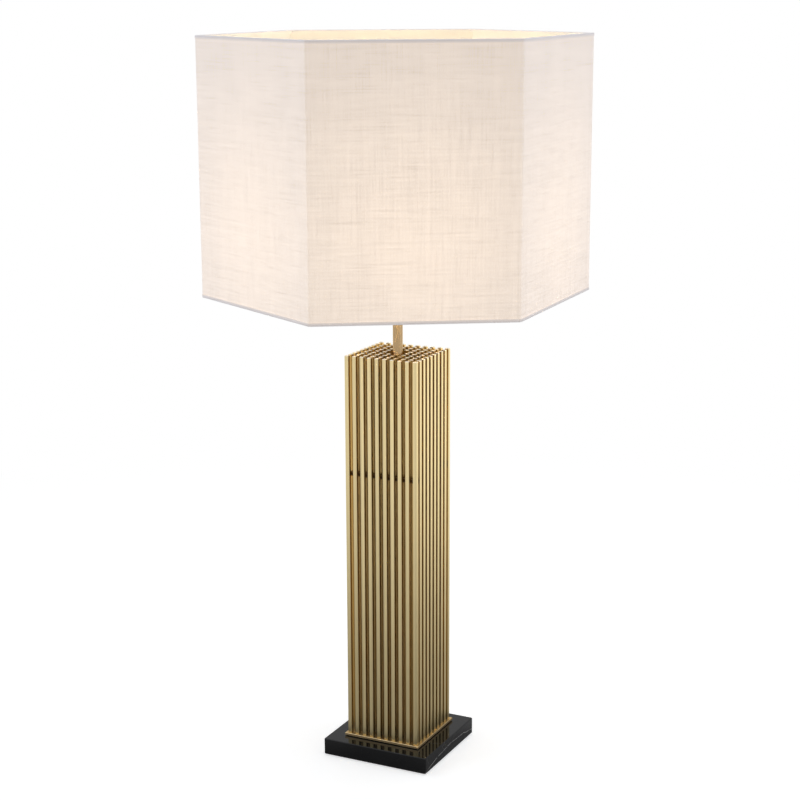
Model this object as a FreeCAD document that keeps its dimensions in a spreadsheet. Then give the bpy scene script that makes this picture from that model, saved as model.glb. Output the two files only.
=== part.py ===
import FreeCAD, Part
import math
import os
import Sketcher

# A table lamp: a column of square brass rods on a stone base, under a six-sided linen shade.
# The frame has its origin under the middle of the base, +Z up, and the front of the lamp faces -Y.

# Driving sizes in millimetres, angles in degrees
SIZES = {
    # Stone base and the felt under it
    "base_side": 140.0,
    "stone_height": 20.5,
    "base_corner_radius": 2.0,
    "base_edge_bevel": 0.8,
    "felt_thickness": 1.5,
    "felt_inset": 4.0,
    "recess_diameter": 44.0,
    "recess_depth": 12.5,
    "inlet_rise": 7.0,
    "bush_bore": 6.4,
    "bush_body": 9.0,
    "bush_flange": 12.5,
    "bush_flange_thickness": 2.0,
    "bush_flange_edge": 0.7,
    "bush_length": 13.0,
    # Brass plate and its gasket
    "gasket_thickness": 1.0,
    "gasket_inset": 2.0,
    "plate_side": 101.0,
    "plate_thickness": 3.0,
    "plate_bevel": 0.4,
    # Column of rods
    "rod_side": 5.0,
    "rod_pitch": 10.0,
    "rod_height": 480.0,
    "rod_bevel": 0.4,
    "strip_height": 5.0,
    "strip_rise": 334.0,
    "strip_inset": 3.0,
    # Threaded pipe, its nuts and washers, and the tube over it
    "pipe_diameter": 10.0,
    "pipe_bore": 8.0,
    "pipe_tail": 2.0,
    "pipe_head": 1.5,
    "through_clearance": 0.5,
    "thread_clearance": 0.05,
    "base_washer_diameter": 30.0,
    "washer_thickness": 1.5,
    "base_nut_across_flats": 17.0,
    "base_nut_height": 5.0,
    "column_washer_diameter": 22.0,
    "column_nut_across_flats": 14.0,
    "column_nut_height": 4.0,
    "tube_diameter": 12.0,
    "tube_wall": 0.8,
    "tube_above_rods": 44.5,
    # Lampholder
    "holder_washer_diameter": 17.0,
    "holder_washer_thickness": 1.0,
    "cap_collar_diameter": 16.0,
    "cap_collar_height": 6.0,
    "cap_shoulder_height": 8.0,
    "cap_diameter": 40.0,
    "cap_wall": 1.5,
    "cap_ledge": 1.5,
    "insert_depth": 8.0,
    "insert_clearance": 0.3,
    "insert_boss_diameter": 29.0,
    "insert_boss_height": 10.0,
    "shell_bore": 27.1,
    "shell_wall": 0.5,
    "shell_height": 23.0,
    "sleeve_diameter": 39.0,
    "sleeve_bore": 30.0,
    "sleeve_height": 36.0,
    "shoulder_diameter": 47.0,
    "shoulder_thickness": 3.0,
    "shoulder_rise": 17.0,
    "tongue_width": 6.0,
    "tongue_length": 11.0,
    "tongue_thickness": 0.5,
    "tongue_rise": 2.0,
    "terminal_offset": 10.5,
    "terminal_head_diameter": 5.5,
    "terminal_head_height": 2.2,
    "terminal_shank_diameter": 3.0,
    "terminal_shank_length": 5.0,
    # Rotary switch
    "spindle_diameter": 3.6,
    "spindle_running_clearance": 0.05,
    "spindle_wall_clearance": 0.4,
    "spindle_inner_end": 5.0,
    "knob_diameter": 12.0,
    "knob_length": 13.0,
    "knob_gap": 0.5,
    "knob_bore_depth": 8.0,
    "knob_edge": 0.8,
    "flute_diameter": 1.6,
    # Shade carrier
    "seat_gap": 0.3,
    "fitter_bore": 40.2,
    "fitter_diameter": 54.0,
    "fitter_thickness": 2.0,
    "ring_bore": 39.8,
    "ring_collar_diameter": 46.0,
    "ring_diameter": 57.0,
    "ring_flange": 3.5,
    "ring_height": 9.5,
    "ring_edge": 0.7,
    "ring_notch_diameter": 4.0,
    "spoke_diameter": 3.0,
    "spoke_foot": 14.0,
    "spoke_bend": 8.0,
    "frame_wire": 3.2,
    # Shade
    "shade_across_flats": 402.0,
    "shade_height": 303.5,
    "fitter_rise": 16.8,
    "shade_turned": 1.9,
    "linen_thickness": 0.5,
    "panel_thickness": 0.8,
    "tape_thickness": 0.4,
    "tape_height": 4.0,
    "tape_fit": 0.5,
    # Bulb
    "bulb_gap": 0.3,
    "button_diameter": 9.0,
    "button_height": 1.4,
    "insulator_height": 3.4,
    "insulator_top_diameter": 24.0,
    "screw_cap_diameter": 26.4,
    "screw_cap_height": 21.5,
    "screw_cap_wall": 0.3,
    "glass_diameter": 38.0,
    "glass_wall": 0.8,
    "dome_rise": 86.0,
    "neck_diameter": 25.4,
    "neck_overlap": 4.0,
    "neck_length": 8.0,
    "flare_length": 9.0,
    "stem_fit": 0.3,
    "stem_foot_height": 3.0,
    "stem_foot_rim": 1.0,
    "stem_diameter": 7.0,
    "stem_height": 32.0,
    "lead_diameter": 0.8,
    "lead_spread": 9.0,
    "lead_height": 16.0,
    "filament_diameter": 1.2,
    "filament_rise": 8.0,
}

# Counts. The omitted rods are those of each middle row that the centre tube stands in place of.
ROD_COUNT = 10
OMITTED_COUNT = 2
PANEL_COUNT = 6
SPOKE_COUNT = 3
NOTCH_COUNT = 12
FLUTE_COUNT = 12

document = FreeCAD.newDocument("ColumnLamp")
sheet = document.addObject("Spreadsheet::Sheet", "Sizes")
for row, (name, size) in enumerate(SIZES.items(), start=1):
    sheet.set(f"A{row}", name)
    sheet.set(f"B{row}", str(size))
    sheet.setAlias(f"B{row}", name)
document.recompute()

# Levels and lengths that several pieces share, as expressions on the sheet
STONE_BOTTOM = "Sizes.felt_thickness"
STONE_TOP = f"({STONE_BOTTOM} + Sizes.stone_height)"
RECESS_TOP = f"({STONE_BOTTOM} + Sizes.recess_depth)"
INLET_LEVEL = f"({STONE_BOTTOM} + Sizes.inlet_rise)"
PLATE_BOTTOM = f"({STONE_TOP} + Sizes.gasket_thickness)"
PLATE_TOP = f"({PLATE_BOTTOM} + Sizes.plate_thickness)"
STRIP_LEVEL = f"({PLATE_TOP} + Sizes.strip_rise)"
BASE_WASHER_BOTTOM = f"({RECESS_TOP} - Sizes.washer_thickness)"
BASE_NUT_BOTTOM = f"({BASE_WASHER_BOTTOM} - Sizes.base_nut_height)"
PIPE_BOTTOM = f"({BASE_NUT_BOTTOM} - Sizes.pipe_tail)"
COLUMN_NUT_BOTTOM = f"({PLATE_TOP} + Sizes.washer_thickness)"
TUBE_BOTTOM = f"({COLUMN_NUT_BOTTOM} + Sizes.column_nut_height)"
TUBE_TOP = f"({PLATE_TOP} + Sizes.rod_height + Sizes.tube_above_rods)"
CAP_BOTTOM = f"({TUBE_TOP} + Sizes.holder_washer_thickness)"
INSERT_BOTTOM = f"({CAP_BOTTOM} + Sizes.cap_collar_height + Sizes.cap_shoulder_height)"
CAP_TOP = f"({INSERT_BOTTOM} + Sizes.insert_depth)"
PIPE_TOP = f"({CAP_BOTTOM} + Sizes.cap_collar_height + Sizes.pipe_head)"
BOSS_TOP = f"({CAP_TOP} + Sizes.insert_boss_height)"
SPINDLE_LEVEL = f"({INSERT_BOTTOM} + Sizes.insert_depth / 2)"
SHOULDER_TOP = f"({CAP_TOP} + Sizes.shoulder_rise + Sizes.shoulder_thickness)"
FITTER_BOTTOM = f"({SHOULDER_TOP} + Sizes.seat_gap)"
RING_BOTTOM = f"({FITTER_BOTTOM} + Sizes.fitter_thickness + Sizes.seat_gap)"
BULB_BOTTOM = f"({BOSS_TOP} + Sizes.tongue_rise + Sizes.bulb_gap)"
CAP_RISE = "(Sizes.button_height + Sizes.insulator_height)"
NECK_FOOT = f"({CAP_RISE} + Sizes.screw_cap_height - Sizes.neck_overlap)"
SHADE_BOTTOM = f"({FITTER_BOTTOM} - Sizes.fitter_rise)"
SHADE_TOP = f"({SHADE_BOTTOM} + Sizes.shade_height)"
LINEN_APOTHEM = "(Sizes.shade_across_flats / 2 - Sizes.tape_thickness)"
PANEL_APOTHEM = f"({LINEN_APOTHEM} - Sizes.linen_thickness)"
INNER_APOTHEM = f"({PANEL_APOTHEM} - Sizes.panel_thickness)"
WIRE_APOTHEM = f"({INNER_APOTHEM} - Sizes.tape_fit / 2 - Sizes.frame_wire / 2)"
WIRE_SEAT = "(Sizes.tape_thickness + Sizes.tape_fit / 2 + Sizes.frame_wire / 2)"
PIPE_HOLE = "(Sizes.pipe_diameter + 2 * Sizes.through_clearance)"
THREAD_HOLE = "(Sizes.pipe_diameter + 2 * Sizes.thread_clearance)"

# Half the angle that one side of the shade takes, seen from above
HALF_SIDE_ANGLE = 180.0 / PANEL_COUNT

UP = FreeCAD.Vector(0, 0, 1)

# Places nearer to each other than this are the same place
CLOSE = 0.001
sub_parts = []


def value(expression):
    """The number that an expression on the sheet gives."""
    return float(sheet.evalExpression(str(expression)))


def new_body(label, level="0", axis=UP, turn="0"):
    """A body with its own label, standing at a level and turned about an axis."""
    body = document.addObject("PartDesign::Body", label)
    body.Label = label
    body.Placement = FreeCAD.Placement(FreeCAD.Vector(0, 0, 0), FreeCAD.Rotation(axis, 1))
    body.setExpression("Placement.Base.z", level)
    body.setExpression("Placement.Rotation.Angle", turn)
    sub_parts.append(body)
    return body


def new_sketch(body, name, plane="XY_Plane", offset="0"):
    """A sketch on one of the body's own planes, moved along that plane's normal."""
    sketch = body.newObject("Sketcher::SketchObject", name)
    planes = [item for item in body.Origin.OriginFeatures if item.Role == plane]
    sketch.AttachmentSupport = [(planes[0], "")]
    sketch.MapMode = "FlatFace"
    sketch.setExpression("AttachmentOffset.Base.z", offset)
    return sketch


def fix_point(sketch, geometry, end, x, y):
    """Ties one end of a line or arc to two expressions."""
    for kind, expression in (("DistanceX", x), ("DistanceY", y)):
        constraint = Sketcher.Constraint(kind, -1, 1, geometry, end, value(expression))
        number = sketch.addConstraint(constraint)
        sketch.setExpression(f"Constraints[{number}]", expression)


def draw_outline(sketch, points):
    """A closed outline. A point is (x, y), or (x, y, height) where the edge that leads to it is an arc
    about the vertical axis at that height."""
    places = [FreeCAD.Vector(value(point[0]), value(point[1]), 0) for point in points]
    count = len(points)
    edges = []
    for index in range(count):
        start = places[index]
        finish = places[(index + 1) % count]
        target = points[(index + 1) % count]
        if len(target) == 2:
            line = sketch.addGeometry(Part.LineSegment(start, finish), False)
            edges.append((line, 1, 2))
            continue
        centre = FreeCAD.Vector(0, value(target[2]), 0)
        circle = Part.Circle(centre, UP, (start - centre).Length)
        angles = [math.atan2(end.y - centre.y, end.x - centre.x) for end in (start, finish)]
        arc = sketch.addGeometry(Part.ArcOfCircle(circle, min(angles), max(angles)), False)
        edges.append((arc, 1, 2) if angles[0] < angles[1] else (arc, 2, 1))
        sketch.addConstraint(Sketcher.Constraint("PointOnObject", arc, 3, -2))
    for index in range(count):
        edge, first, last = edges[index]
        following, next_first, _ = edges[(index + 1) % count]
        sketch.addConstraint(Sketcher.Constraint("Coincident", edge, last, following, next_first))
        fix_point(sketch, edge, first, points[index][0], points[index][1])


def draw_rectangle(sketch, width, depth, x="0", y="0"):
    """A rectangle about a point."""
    left, right = f"{x} - ({width}) / 2", f"{x} + ({width}) / 2"
    low, high = f"{y} - ({depth}) / 2", f"{y} + ({depth}) / 2"
    draw_outline(sketch, [(left, low), (right, low), (right, high), (left, high)])


def draw_bevelled_square(sketch, side, bevel, x, y="0"):
    """A square with its four corners cut off."""
    near, far = f"(({side}) / 2 - {bevel})", f"(({side}) / 2)"
    corners = [(near, far), (far, near)]
    corners += [(far, f"-{near}"), (near, f"-{far}")]
    corners += [(f"-{near}", f"-{far}"), (f"-{far}", f"-{near}")]
    corners += [(f"-{far}", near), (f"-{near}", far)]
    draw_outline(sketch, [(f"{x} + {across}", f"{y} + {along}") for across, along in corners])


def draw_hexagon(sketch, apothem):
    """A regular hexagon whose flats lie an apothem from the middle."""
    radius = f"({apothem}) / cos({HALF_SIDE_ANGLE})"
    corners = []
    for index in range(PANEL_COUNT):
        angle = (2 * index + 1) * HALF_SIDE_ANGLE
        corners.append((f"{radius} * cos({angle})", f"{radius} * sin({angle})"))
    draw_outline(sketch, corners)


def draw_circle(sketch, diameter, x="0", y="0"):
    """A circle about a point."""
    centre = FreeCAD.Vector(value(x), value(y), 0)
    circle = sketch.addGeometry(Part.Circle(centre, UP, value(diameter) / 2), False)
    if x == "0" and y == "0":
        sketch.addConstraint(Sketcher.Constraint("Coincident", circle, 3, -1, 1))
    else:
        fix_point(sketch, circle, 3, x, y)
    number = sketch.addConstraint(Sketcher.Constraint("Diameter", circle, value(diameter)))
    sketch.setExpression(f"Constraints[{number}]", diameter)


def pad(body, sketch, name, thickness):
    """Raises a sketch into the body."""
    feature = body.newObject("PartDesign::Pad", name)
    feature.Profile = sketch
    feature.setExpression("Length", thickness)
    document.recompute()
    return feature


def pocket(body, sketch, name, depth, reverse=False):
    """Cuts a sketch out of the body, and makes sure that something was cut."""
    before = body.Shape.Volume
    feature = body.newObject("PartDesign::Pocket", name)
    feature.Profile = sketch
    feature.Reversed = reverse
    feature.setExpression("Length", depth)
    document.recompute()
    if body.Shape.Volume >= before:
        raise RuntimeError(f"{name} cuts nothing")
    return feature


def revolve(body, points, name="turned"):
    """Turns an outline of (radius, height) points about the body's vertical axis."""
    sketch = new_sketch(body, f"{name}_profile", "XZ_Plane")
    draw_outline(sketch, points)
    feature = body.newObject("PartDesign::Revolution", name)
    feature.Profile = sketch
    feature.ReferenceAxis = (sketch, ["V_Axis"])
    feature.Angle = 360
    document.recompute()
    return feature


def repeat_round(body, feature, sketch, count, name):
    """Repeats a feature about the sketch's normal."""
    pattern = body.newObject("PartDesign::PolarPattern", name)
    pattern.Originals = [feature]
    pattern.Axis = (sketch, ["N_Axis"])
    pattern.Angle = 360
    pattern.Occurrences = count
    body.Tip = pattern
    document.recompute()
    return pattern


def edges_where(feature, test):
    """Names of the feature's edges that pass a test."""
    shape = feature.Shape
    return [f"Edge{number}" for number, edge in enumerate(shape.Edges, start=1) if test(edge)]


def is_upright(edge):
    """True for a straight edge along Z."""
    box = edge.BoundBox
    return box.ZLength > CLOSE and box.XLength < CLOSE and box.YLength < CLOSE


def lies_at(edge, level):
    """True for an edge that lies flat at a level of its own body."""
    box = edge.BoundBox
    return abs(box.ZMin - level) < CLOSE and abs(box.ZMax - level) < CLOSE


def reaches(edge, half_side):
    """True for an edge on the outline of a square."""
    box = edge.BoundBox
    return max(-box.XMin, box.XMax, -box.YMin, box.YMax) > half_side - CLOSE


def dress(body, kind, name, base, edges, size):
    """A fillet or a chamfer on some edges."""
    feature = body.newObject(f"PartDesign::{kind}", name)
    feature.Base = (base, edges)
    feature.setExpression("Radius" if kind == "Fillet" else "Size", size)
    document.recompute()
    return feature


def round_tube(label, outer, bore, length, level):
    """A washer, pipe or sleeve: a round outside with a bore."""
    body = new_body(label, level)
    sketch = new_sketch(body, "ring")
    draw_circle(sketch, outer)
    draw_circle(sketch, bore)
    pad(body, sketch, "wall", length)


def hex_nut(label, across_flats, height, level):
    """A hexagon nut on the pipe's thread."""
    body = new_body(label, level)
    sketch = new_sketch(body, "hexagon")
    draw_hexagon(sketch, f"{across_flats} / 2")
    draw_circle(sketch, THREAD_HOLE)
    pad(body, sketch, "nut", height)


def make_felt():
    """Pad under the stone, which also closes the recess."""
    body = new_body("base_felt")
    sketch = new_sketch(body, "square")
    side = "(Sizes.base_side - 2 * Sizes.felt_inset)"
    draw_rectangle(sketch, side, side)
    pad(body, sketch, "felt", "Sizes.felt_thickness")


def make_stone_base():
    """Stone block with a centre hole, a round recess below and a cable hole to the back."""
    body = new_body("stone_base", STONE_BOTTOM)
    sketch = new_sketch(body, "square")
    draw_rectangle(sketch, "Sizes.base_side", "Sizes.base_side")
    block = pad(body, sketch, "block", "Sizes.stone_height")
    corners = edges_where(block, is_upright)
    rounded = dress(body, "Fillet", "corners", block, corners, "Sizes.base_corner_radius")
    height = value("Sizes.stone_height")
    rims = edges_where(rounded, lambda edge: lies_at(edge, height) or lies_at(edge, 0))
    dress(body, "Chamfer", "eased_rims", rounded, rims, "Sizes.base_edge_bevel")
    recess = new_sketch(body, "recess_circle")
    draw_circle(recess, "Sizes.recess_diameter")
    pocket(body, recess, "recess", "Sizes.recess_depth", reverse=True)
    hole = new_sketch(body, "pipe_circle", offset="Sizes.recess_depth")
    draw_circle(hole, PIPE_HOLE)
    pocket(body, hole, "pipe_hole", "Sizes.stone_height - Sizes.recess_depth", reverse=True)
    inlet = new_sketch(body, "inlet_circle", "XZ_Plane", "-Sizes.base_side / 2")
    draw_circle(inlet, "Sizes.bush_body + 2 * Sizes.thread_clearance", "0", "Sizes.inlet_rise")
    pocket(body, inlet, "inlet", "Sizes.base_side / 2", reverse=True)


def make_cable_bush():
    """Rubber bush that the cable would enter by, with a flange on the back of the stone."""
    body = new_body("cable_bush", INLET_LEVEL)
    back = "(-Sizes.base_side / 2)"
    flange = new_sketch(body, "flange_circle", "XZ_Plane", f"{back} - Sizes.bush_flange_thickness")
    draw_circle(flange, "Sizes.bush_flange")
    head = pad(body, flange, "flange", "Sizes.bush_flange_thickness")
    outer = -value(back) + value("Sizes.bush_flange_thickness")
    rim = edges_where(head, lambda edge: abs(edge.BoundBox.YMin - outer) < CLOSE)
    dress(body, "Chamfer", "flange_rim", head, rim, "Sizes.bush_flange_edge")
    neck = new_sketch(body, "neck_circle", "XZ_Plane", back)
    draw_circle(neck, "Sizes.bush_body")
    pad(body, neck, "neck", "Sizes.bush_length")
    bore = new_sketch(body, "bore_circle", "XZ_Plane", f"{back} - Sizes.bush_flange_thickness")
    draw_circle(bore, "Sizes.bush_bore")
    pocket(body, bore, "bore", "Sizes.bush_length + Sizes.bush_flange_thickness", reverse=True)


def make_bottom_plate():
    """Gasket on the stone, and the brass plate that the rods stand on."""
    gasket = new_body("plate_gasket", STONE_TOP)
    sketch = new_sketch(gasket, "square")
    side = "(Sizes.plate_side - 2 * Sizes.gasket_inset)"
    draw_rectangle(sketch, side, side)
    draw_circle(sketch, PIPE_HOLE)
    pad(gasket, sketch, "sheet", "Sizes.gasket_thickness")
    plate = new_body("bottom_plate", PLATE_BOTTOM)
    sketch = new_sketch(plate, "square")
    draw_rectangle(sketch, "Sizes.plate_side", "Sizes.plate_side")
    draw_circle(sketch, PIPE_HOLE)
    sheet_metal = pad(plate, sketch, "sheet_metal", "Sizes.plate_thickness")
    height = value("Sizes.plate_thickness")
    half_side = value("Sizes.plate_side / 2")
    rim = edges_where(sheet_metal, lambda edge: lies_at(edge, height) and reaches(edge, half_side))
    dress(plate, "Chamfer", "eased_edge", sheet_metal, rim, "Sizes.plate_bevel")


def make_rod_row(number):
    """One row of rods, from left to right. The rows by the centre tube leave its rods out."""
    body = new_body(f"rod_row_{number:02d}", PLATE_TOP)
    half_count = ROD_COUNT / 2
    row_place = f"({number - half_count - 0.5} * Sizes.rod_pitch)"
    by_tube = abs(number - half_count - 0.5) < OMITTED_COUNT / 2
    group = int(half_count) - (OMITTED_COUNT // 2 if by_tube else 0)
    outermost = f"({half_count - 0.5} * Sizes.rod_pitch)"
    sketch = new_sketch(body, "rod_sections")
    for first in (f"-{outermost}", f"{outermost} - {group - 1} * Sizes.rod_pitch"):
        draw_bevelled_square(sketch, "Sizes.rod_side", "Sizes.rod_bevel", first, row_place)
    rods = pad(body, sketch, "rods", "Sizes.rod_height")
    pattern = body.newObject("PartDesign::LinearPattern", "along_row")
    pattern.Originals = [rods]
    pattern.Direction = (sketch, ["H_Axis"])
    pattern.setExpression("Length", f"{group - 1} * Sizes.rod_pitch")
    pattern.Occurrences = group
    body.Tip = pattern


def make_spacer_strips():
    """Strips soldered between the rows. The middle one is in two lengths, either side of the tube."""
    body = new_body("spacer_strips", f"{STRIP_LEVEL} - Sizes.strip_height / 2")
    width = "(Sizes.rod_pitch - Sizes.rod_side)"
    span = f"({ROD_COUNT - 1} * Sizes.rod_pitch + Sizes.rod_side)"
    end = f"({span} / 2 - Sizes.strip_inset)"
    tube_opening = f"({OMITTED_COUNT / 2 + 0.5} * Sizes.rod_pitch - Sizes.rod_side / 2)"
    sketch = new_sketch(body, "strip_sections")
    reach = ROD_COUNT // 2 - 1
    for step in range(-reach, reach + 1):
        place = f"{step} * Sizes.rod_pitch"
        if step:
            draw_rectangle(sketch, f"2 * {end}", width, "0", place)
            continue
        for side in ("-", ""):
            middle = f"{side}({end} + {tube_opening}) / 2"
            draw_rectangle(sketch, f"{end} - {tube_opening}", width, middle, place)
    pad(body, sketch, "strips", "Sizes.strip_height")


def make_pipe_and_tube():
    """The threaded pipe that ties the lamp together, and the tube that hides it."""
    thin = "Sizes.washer_thickness"
    round_tube("base_washer", "Sizes.base_washer_diameter", THREAD_HOLE, thin, BASE_WASHER_BOTTOM)
    hex_nut("base_nut", "Sizes.base_nut_across_flats", "Sizes.base_nut_height", BASE_NUT_BOTTOM)
    round_tube("column_washer", "Sizes.column_washer_diameter", THREAD_HOLE, thin, PLATE_TOP)
    hex_nut("column_nut", "Sizes.column_nut_across_flats", "Sizes.column_nut_height", COLUMN_NUT_BOTTOM)
    pipe_length = f"{PIPE_TOP} - {PIPE_BOTTOM}"
    round_tube("threaded_pipe", "Sizes.pipe_diameter", "Sizes.pipe_bore", pipe_length, PIPE_BOTTOM)
    tube_bore = "(Sizes.tube_diameter - 2 * Sizes.tube_wall)"
    tube_length = f"{TUBE_TOP} - {TUBE_BOTTOM}"
    round_tube("centre_tube", "Sizes.tube_diameter", tube_bore, tube_length, TUBE_BOTTOM)
    disc = "Sizes.holder_washer_diameter"
    round_tube("holder_washer", disc, THREAD_HOLE, "Sizes.holder_washer_thickness", TUBE_TOP)


def make_holder_cap():
    """Domed lower half of the lampholder, screwed on the pipe, with a side hole for the switch spindle."""
    body = new_body("holder_cap", CAP_BOTTOM)
    collar, outer = "Sizes.cap_collar_diameter / 2", "Sizes.cap_diameter / 2"
    bore = f"{THREAD_HOLE} / 2"
    wall = "Sizes.cap_wall"
    inner = f"({outer} - {wall})"
    collar_top = "Sizes.cap_collar_height"
    ledge_level = f"({collar_top} + Sizes.cap_shoulder_height)"
    rim_level = f"({ledge_level} + Sizes.insert_depth)"
    revolve(body, [
        (bore, "0"),
        (collar, "0"),
        (collar, f"{collar_top} - {wall}"),
        (outer, f"{ledge_level} - {wall}"),
        (outer, rim_level),
        (inner, rim_level),
        (inner, ledge_level),
        (f"{inner} - Sizes.cap_ledge", ledge_level),
        (collar, collar_top),
        (bore, collar_top),
    ])
    hole = new_sketch(body, "spindle_circle", "YZ_Plane")
    hole_diameter = "Sizes.spindle_diameter + 2 * Sizes.spindle_wall_clearance"
    draw_circle(hole, hole_diameter, "0", f"{ledge_level} + Sizes.insert_depth / 2")
    pocket(body, hole, "spindle_hole", "Sizes.cap_diameter", reverse=True)


def make_holder_insert():
    """Insulating insert with a boss for the screw shell, a wire hole and the spindle's bearing bore."""
    body = new_body("holder_insert", INSERT_BOTTOM)
    base = "(Sizes.cap_diameter / 2 - Sizes.cap_wall - Sizes.insert_clearance)"
    boss = "Sizes.insert_boss_diameter / 2"
    revolve(body, [
        ("0", "0"),
        (base, "0"),
        (base, "Sizes.insert_depth"),
        (boss, "Sizes.insert_depth"),
        (boss, "Sizes.insert_depth + Sizes.insert_boss_height"),
        ("0", "Sizes.insert_depth + Sizes.insert_boss_height"),
    ])
    bearing_end = "Sizes.spindle_inner_end - Sizes.insert_clearance"
    bearing = new_sketch(body, "bearing_circle", "YZ_Plane", bearing_end)
    bearing_bore = "Sizes.spindle_diameter + 2 * Sizes.spindle_running_clearance"
    draw_circle(bearing, bearing_bore, "0", "Sizes.insert_depth / 2")
    pocket(body, bearing, "bearing_bore", "Sizes.cap_diameter / 2", reverse=True)
    holes = new_sketch(body, "terminal_circles")
    hole_diameter = "Sizes.terminal_shank_diameter + 2 * Sizes.thread_clearance"
    for side in ("-", ""):
        draw_circle(holes, hole_diameter, "0", f"{side}Sizes.terminal_offset")
    depth = "Sizes.terminal_shank_length + Sizes.insert_clearance"
    pocket(body, holes, "terminal_holes", depth, reverse=True)


def make_holder_contacts():
    """Bent contact tongue, terminal screws and the thin screw shell for the bulb."""
    tongue = new_body("contact_tongue", BOSS_TOP)
    sketch = new_sketch(tongue, "bent_strip", "XZ_Plane", "-Sizes.tongue_width / 2")
    metal = "Sizes.tongue_thickness"
    foot = "Sizes.tongue_length / 2"
    draw_outline(sketch, [
        (f"-{foot}", "0"),
        ("0", "0"),
        ("0", metal),
        (f"-{foot} / 2", metal),
        (f"{foot} / 2", f"Sizes.tongue_rise - {metal}"),
        (foot, f"Sizes.tongue_rise - {metal}"),
        (foot, "Sizes.tongue_rise"),
        (f"{foot} / 2 - {metal}", "Sizes.tongue_rise"),
        (f"-{foot} / 2 - {metal}", metal),
        (f"-{foot}", metal),
    ])
    pad(tongue, sketch, "strip", "Sizes.tongue_width")
    screws = new_body("terminal_screws", INSERT_BOTTOM)
    heads = new_sketch(screws, "head_circles", offset="-Sizes.terminal_head_height")
    shanks = new_sketch(screws, "shank_circles")
    for side in ("-", ""):
        draw_circle(heads, "Sizes.terminal_head_diameter", "0", f"{side}Sizes.terminal_offset")
        draw_circle(shanks, "Sizes.terminal_shank_diameter", "0", f"{side}Sizes.terminal_offset")
    pad(screws, heads, "heads", "Sizes.terminal_head_height")
    pad(screws, shanks, "shanks", "Sizes.terminal_shank_length")
    outer = "(Sizes.shell_bore + 2 * Sizes.shell_wall)"
    round_tube("screw_shell", outer, "Sizes.shell_bore", "Sizes.shell_height", BOSS_TOP)


def make_holder_sleeve():
    """Outer sleeve with the shade thread above a shoulder. It stands on the cap's rim."""
    body = new_body("holder_sleeve", CAP_TOP)
    outer = "Sizes.sleeve_diameter / 2"
    bore = "Sizes.sleeve_bore / 2"
    revolve(body, [
        (bore, "0"),
        (outer, "0"),
        (outer, "Sizes.shoulder_rise"),
        ("Sizes.shoulder_diameter / 2", "Sizes.shoulder_rise"),
        ("Sizes.shoulder_diameter / 2", "Sizes.shoulder_rise + Sizes.shoulder_thickness"),
        (outer, "Sizes.shoulder_rise + Sizes.shoulder_thickness"),
        (outer, "Sizes.sleeve_height - Sizes.cap_wall"),
        (f"{outer} - Sizes.cap_wall", "Sizes.sleeve_height"),
        (bore, "Sizes.sleeve_height"),
    ])


def make_switch():
    """Spindle in the insert's bearing, and the fluted knob on its outer end."""
    knob_start = "(Sizes.cap_diameter / 2 + Sizes.knob_gap)"
    spindle_end = f"({knob_start} + Sizes.knob_bore_depth)"
    across = FreeCAD.Vector(0, 1, 0)
    spindle = new_body("switch_spindle", SPINDLE_LEVEL, across, "90")
    sketch = new_sketch(spindle, "spindle_circle", offset="Sizes.spindle_inner_end")
    draw_circle(sketch, "Sizes.spindle_diameter")
    pad(spindle, sketch, "shaft", f"{spindle_end} - Sizes.spindle_inner_end")
    knob = new_body("switch_knob", SPINDLE_LEVEL, across, "90")
    radius = "Sizes.knob_diameter / 2"
    bore = "(Sizes.spindle_diameter / 2 + Sizes.thread_clearance)"
    tip = f"{knob_start} + Sizes.knob_length"
    revolve(knob, [
        (bore, knob_start),
        (f"{radius} - Sizes.knob_edge", knob_start),
        (radius, f"{knob_start} + Sizes.knob_edge"),
        (radius, f"{tip} - Sizes.knob_edge"),
        (f"{radius} - Sizes.knob_edge", tip),
        ("0", tip),
        ("0", f"{spindle_end} + Sizes.thread_clearance"),
        (bore, f"{spindle_end} + Sizes.thread_clearance"),
    ])
    flute = new_sketch(knob, "flute_circle", offset=knob_start)
    draw_circle(flute, "Sizes.flute_diameter", radius, "0")
    cut = pocket(knob, flute, "flute", "Sizes.knob_length", reverse=True)
    repeat_round(knob, cut, flute, FLUTE_COUNT, "flutes")


def make_fitter_ring():
    """Ring that carries the shade on the sleeve's shoulder."""
    flat = "Sizes.fitter_thickness"
    round_tube("fitter_ring", "Sizes.fitter_diameter", "Sizes.fitter_bore", flat, FITTER_BOTTOM)


def make_retaining_ring():
    """Threaded ring that holds the fitter ring down, with notches for the fingers."""
    body = new_body("retaining_ring", RING_BOTTOM)
    inner, outer = "Sizes.ring_bore / 2", "Sizes.ring_diameter / 2"
    collar, edge = "Sizes.ring_collar_diameter / 2", "Sizes.ring_edge"
    revolve(body, [
        (inner, "0"),
        (outer, "0"),
        (outer, f"Sizes.ring_flange - {edge}"),
        (f"{outer} - {edge}", "Sizes.ring_flange"),
        (collar, "Sizes.ring_flange"),
        (collar, "Sizes.ring_height"),
        (inner, "Sizes.ring_height"),
    ])
    notch = new_sketch(body, "notch_circle")
    draw_circle(notch, "Sizes.ring_notch_diameter", outer, "0")
    cut = pocket(body, notch, "notch", "Sizes.ring_flange", reverse=True)
    repeat_round(body, cut, notch, NOTCH_COUNT, "notches")


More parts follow.
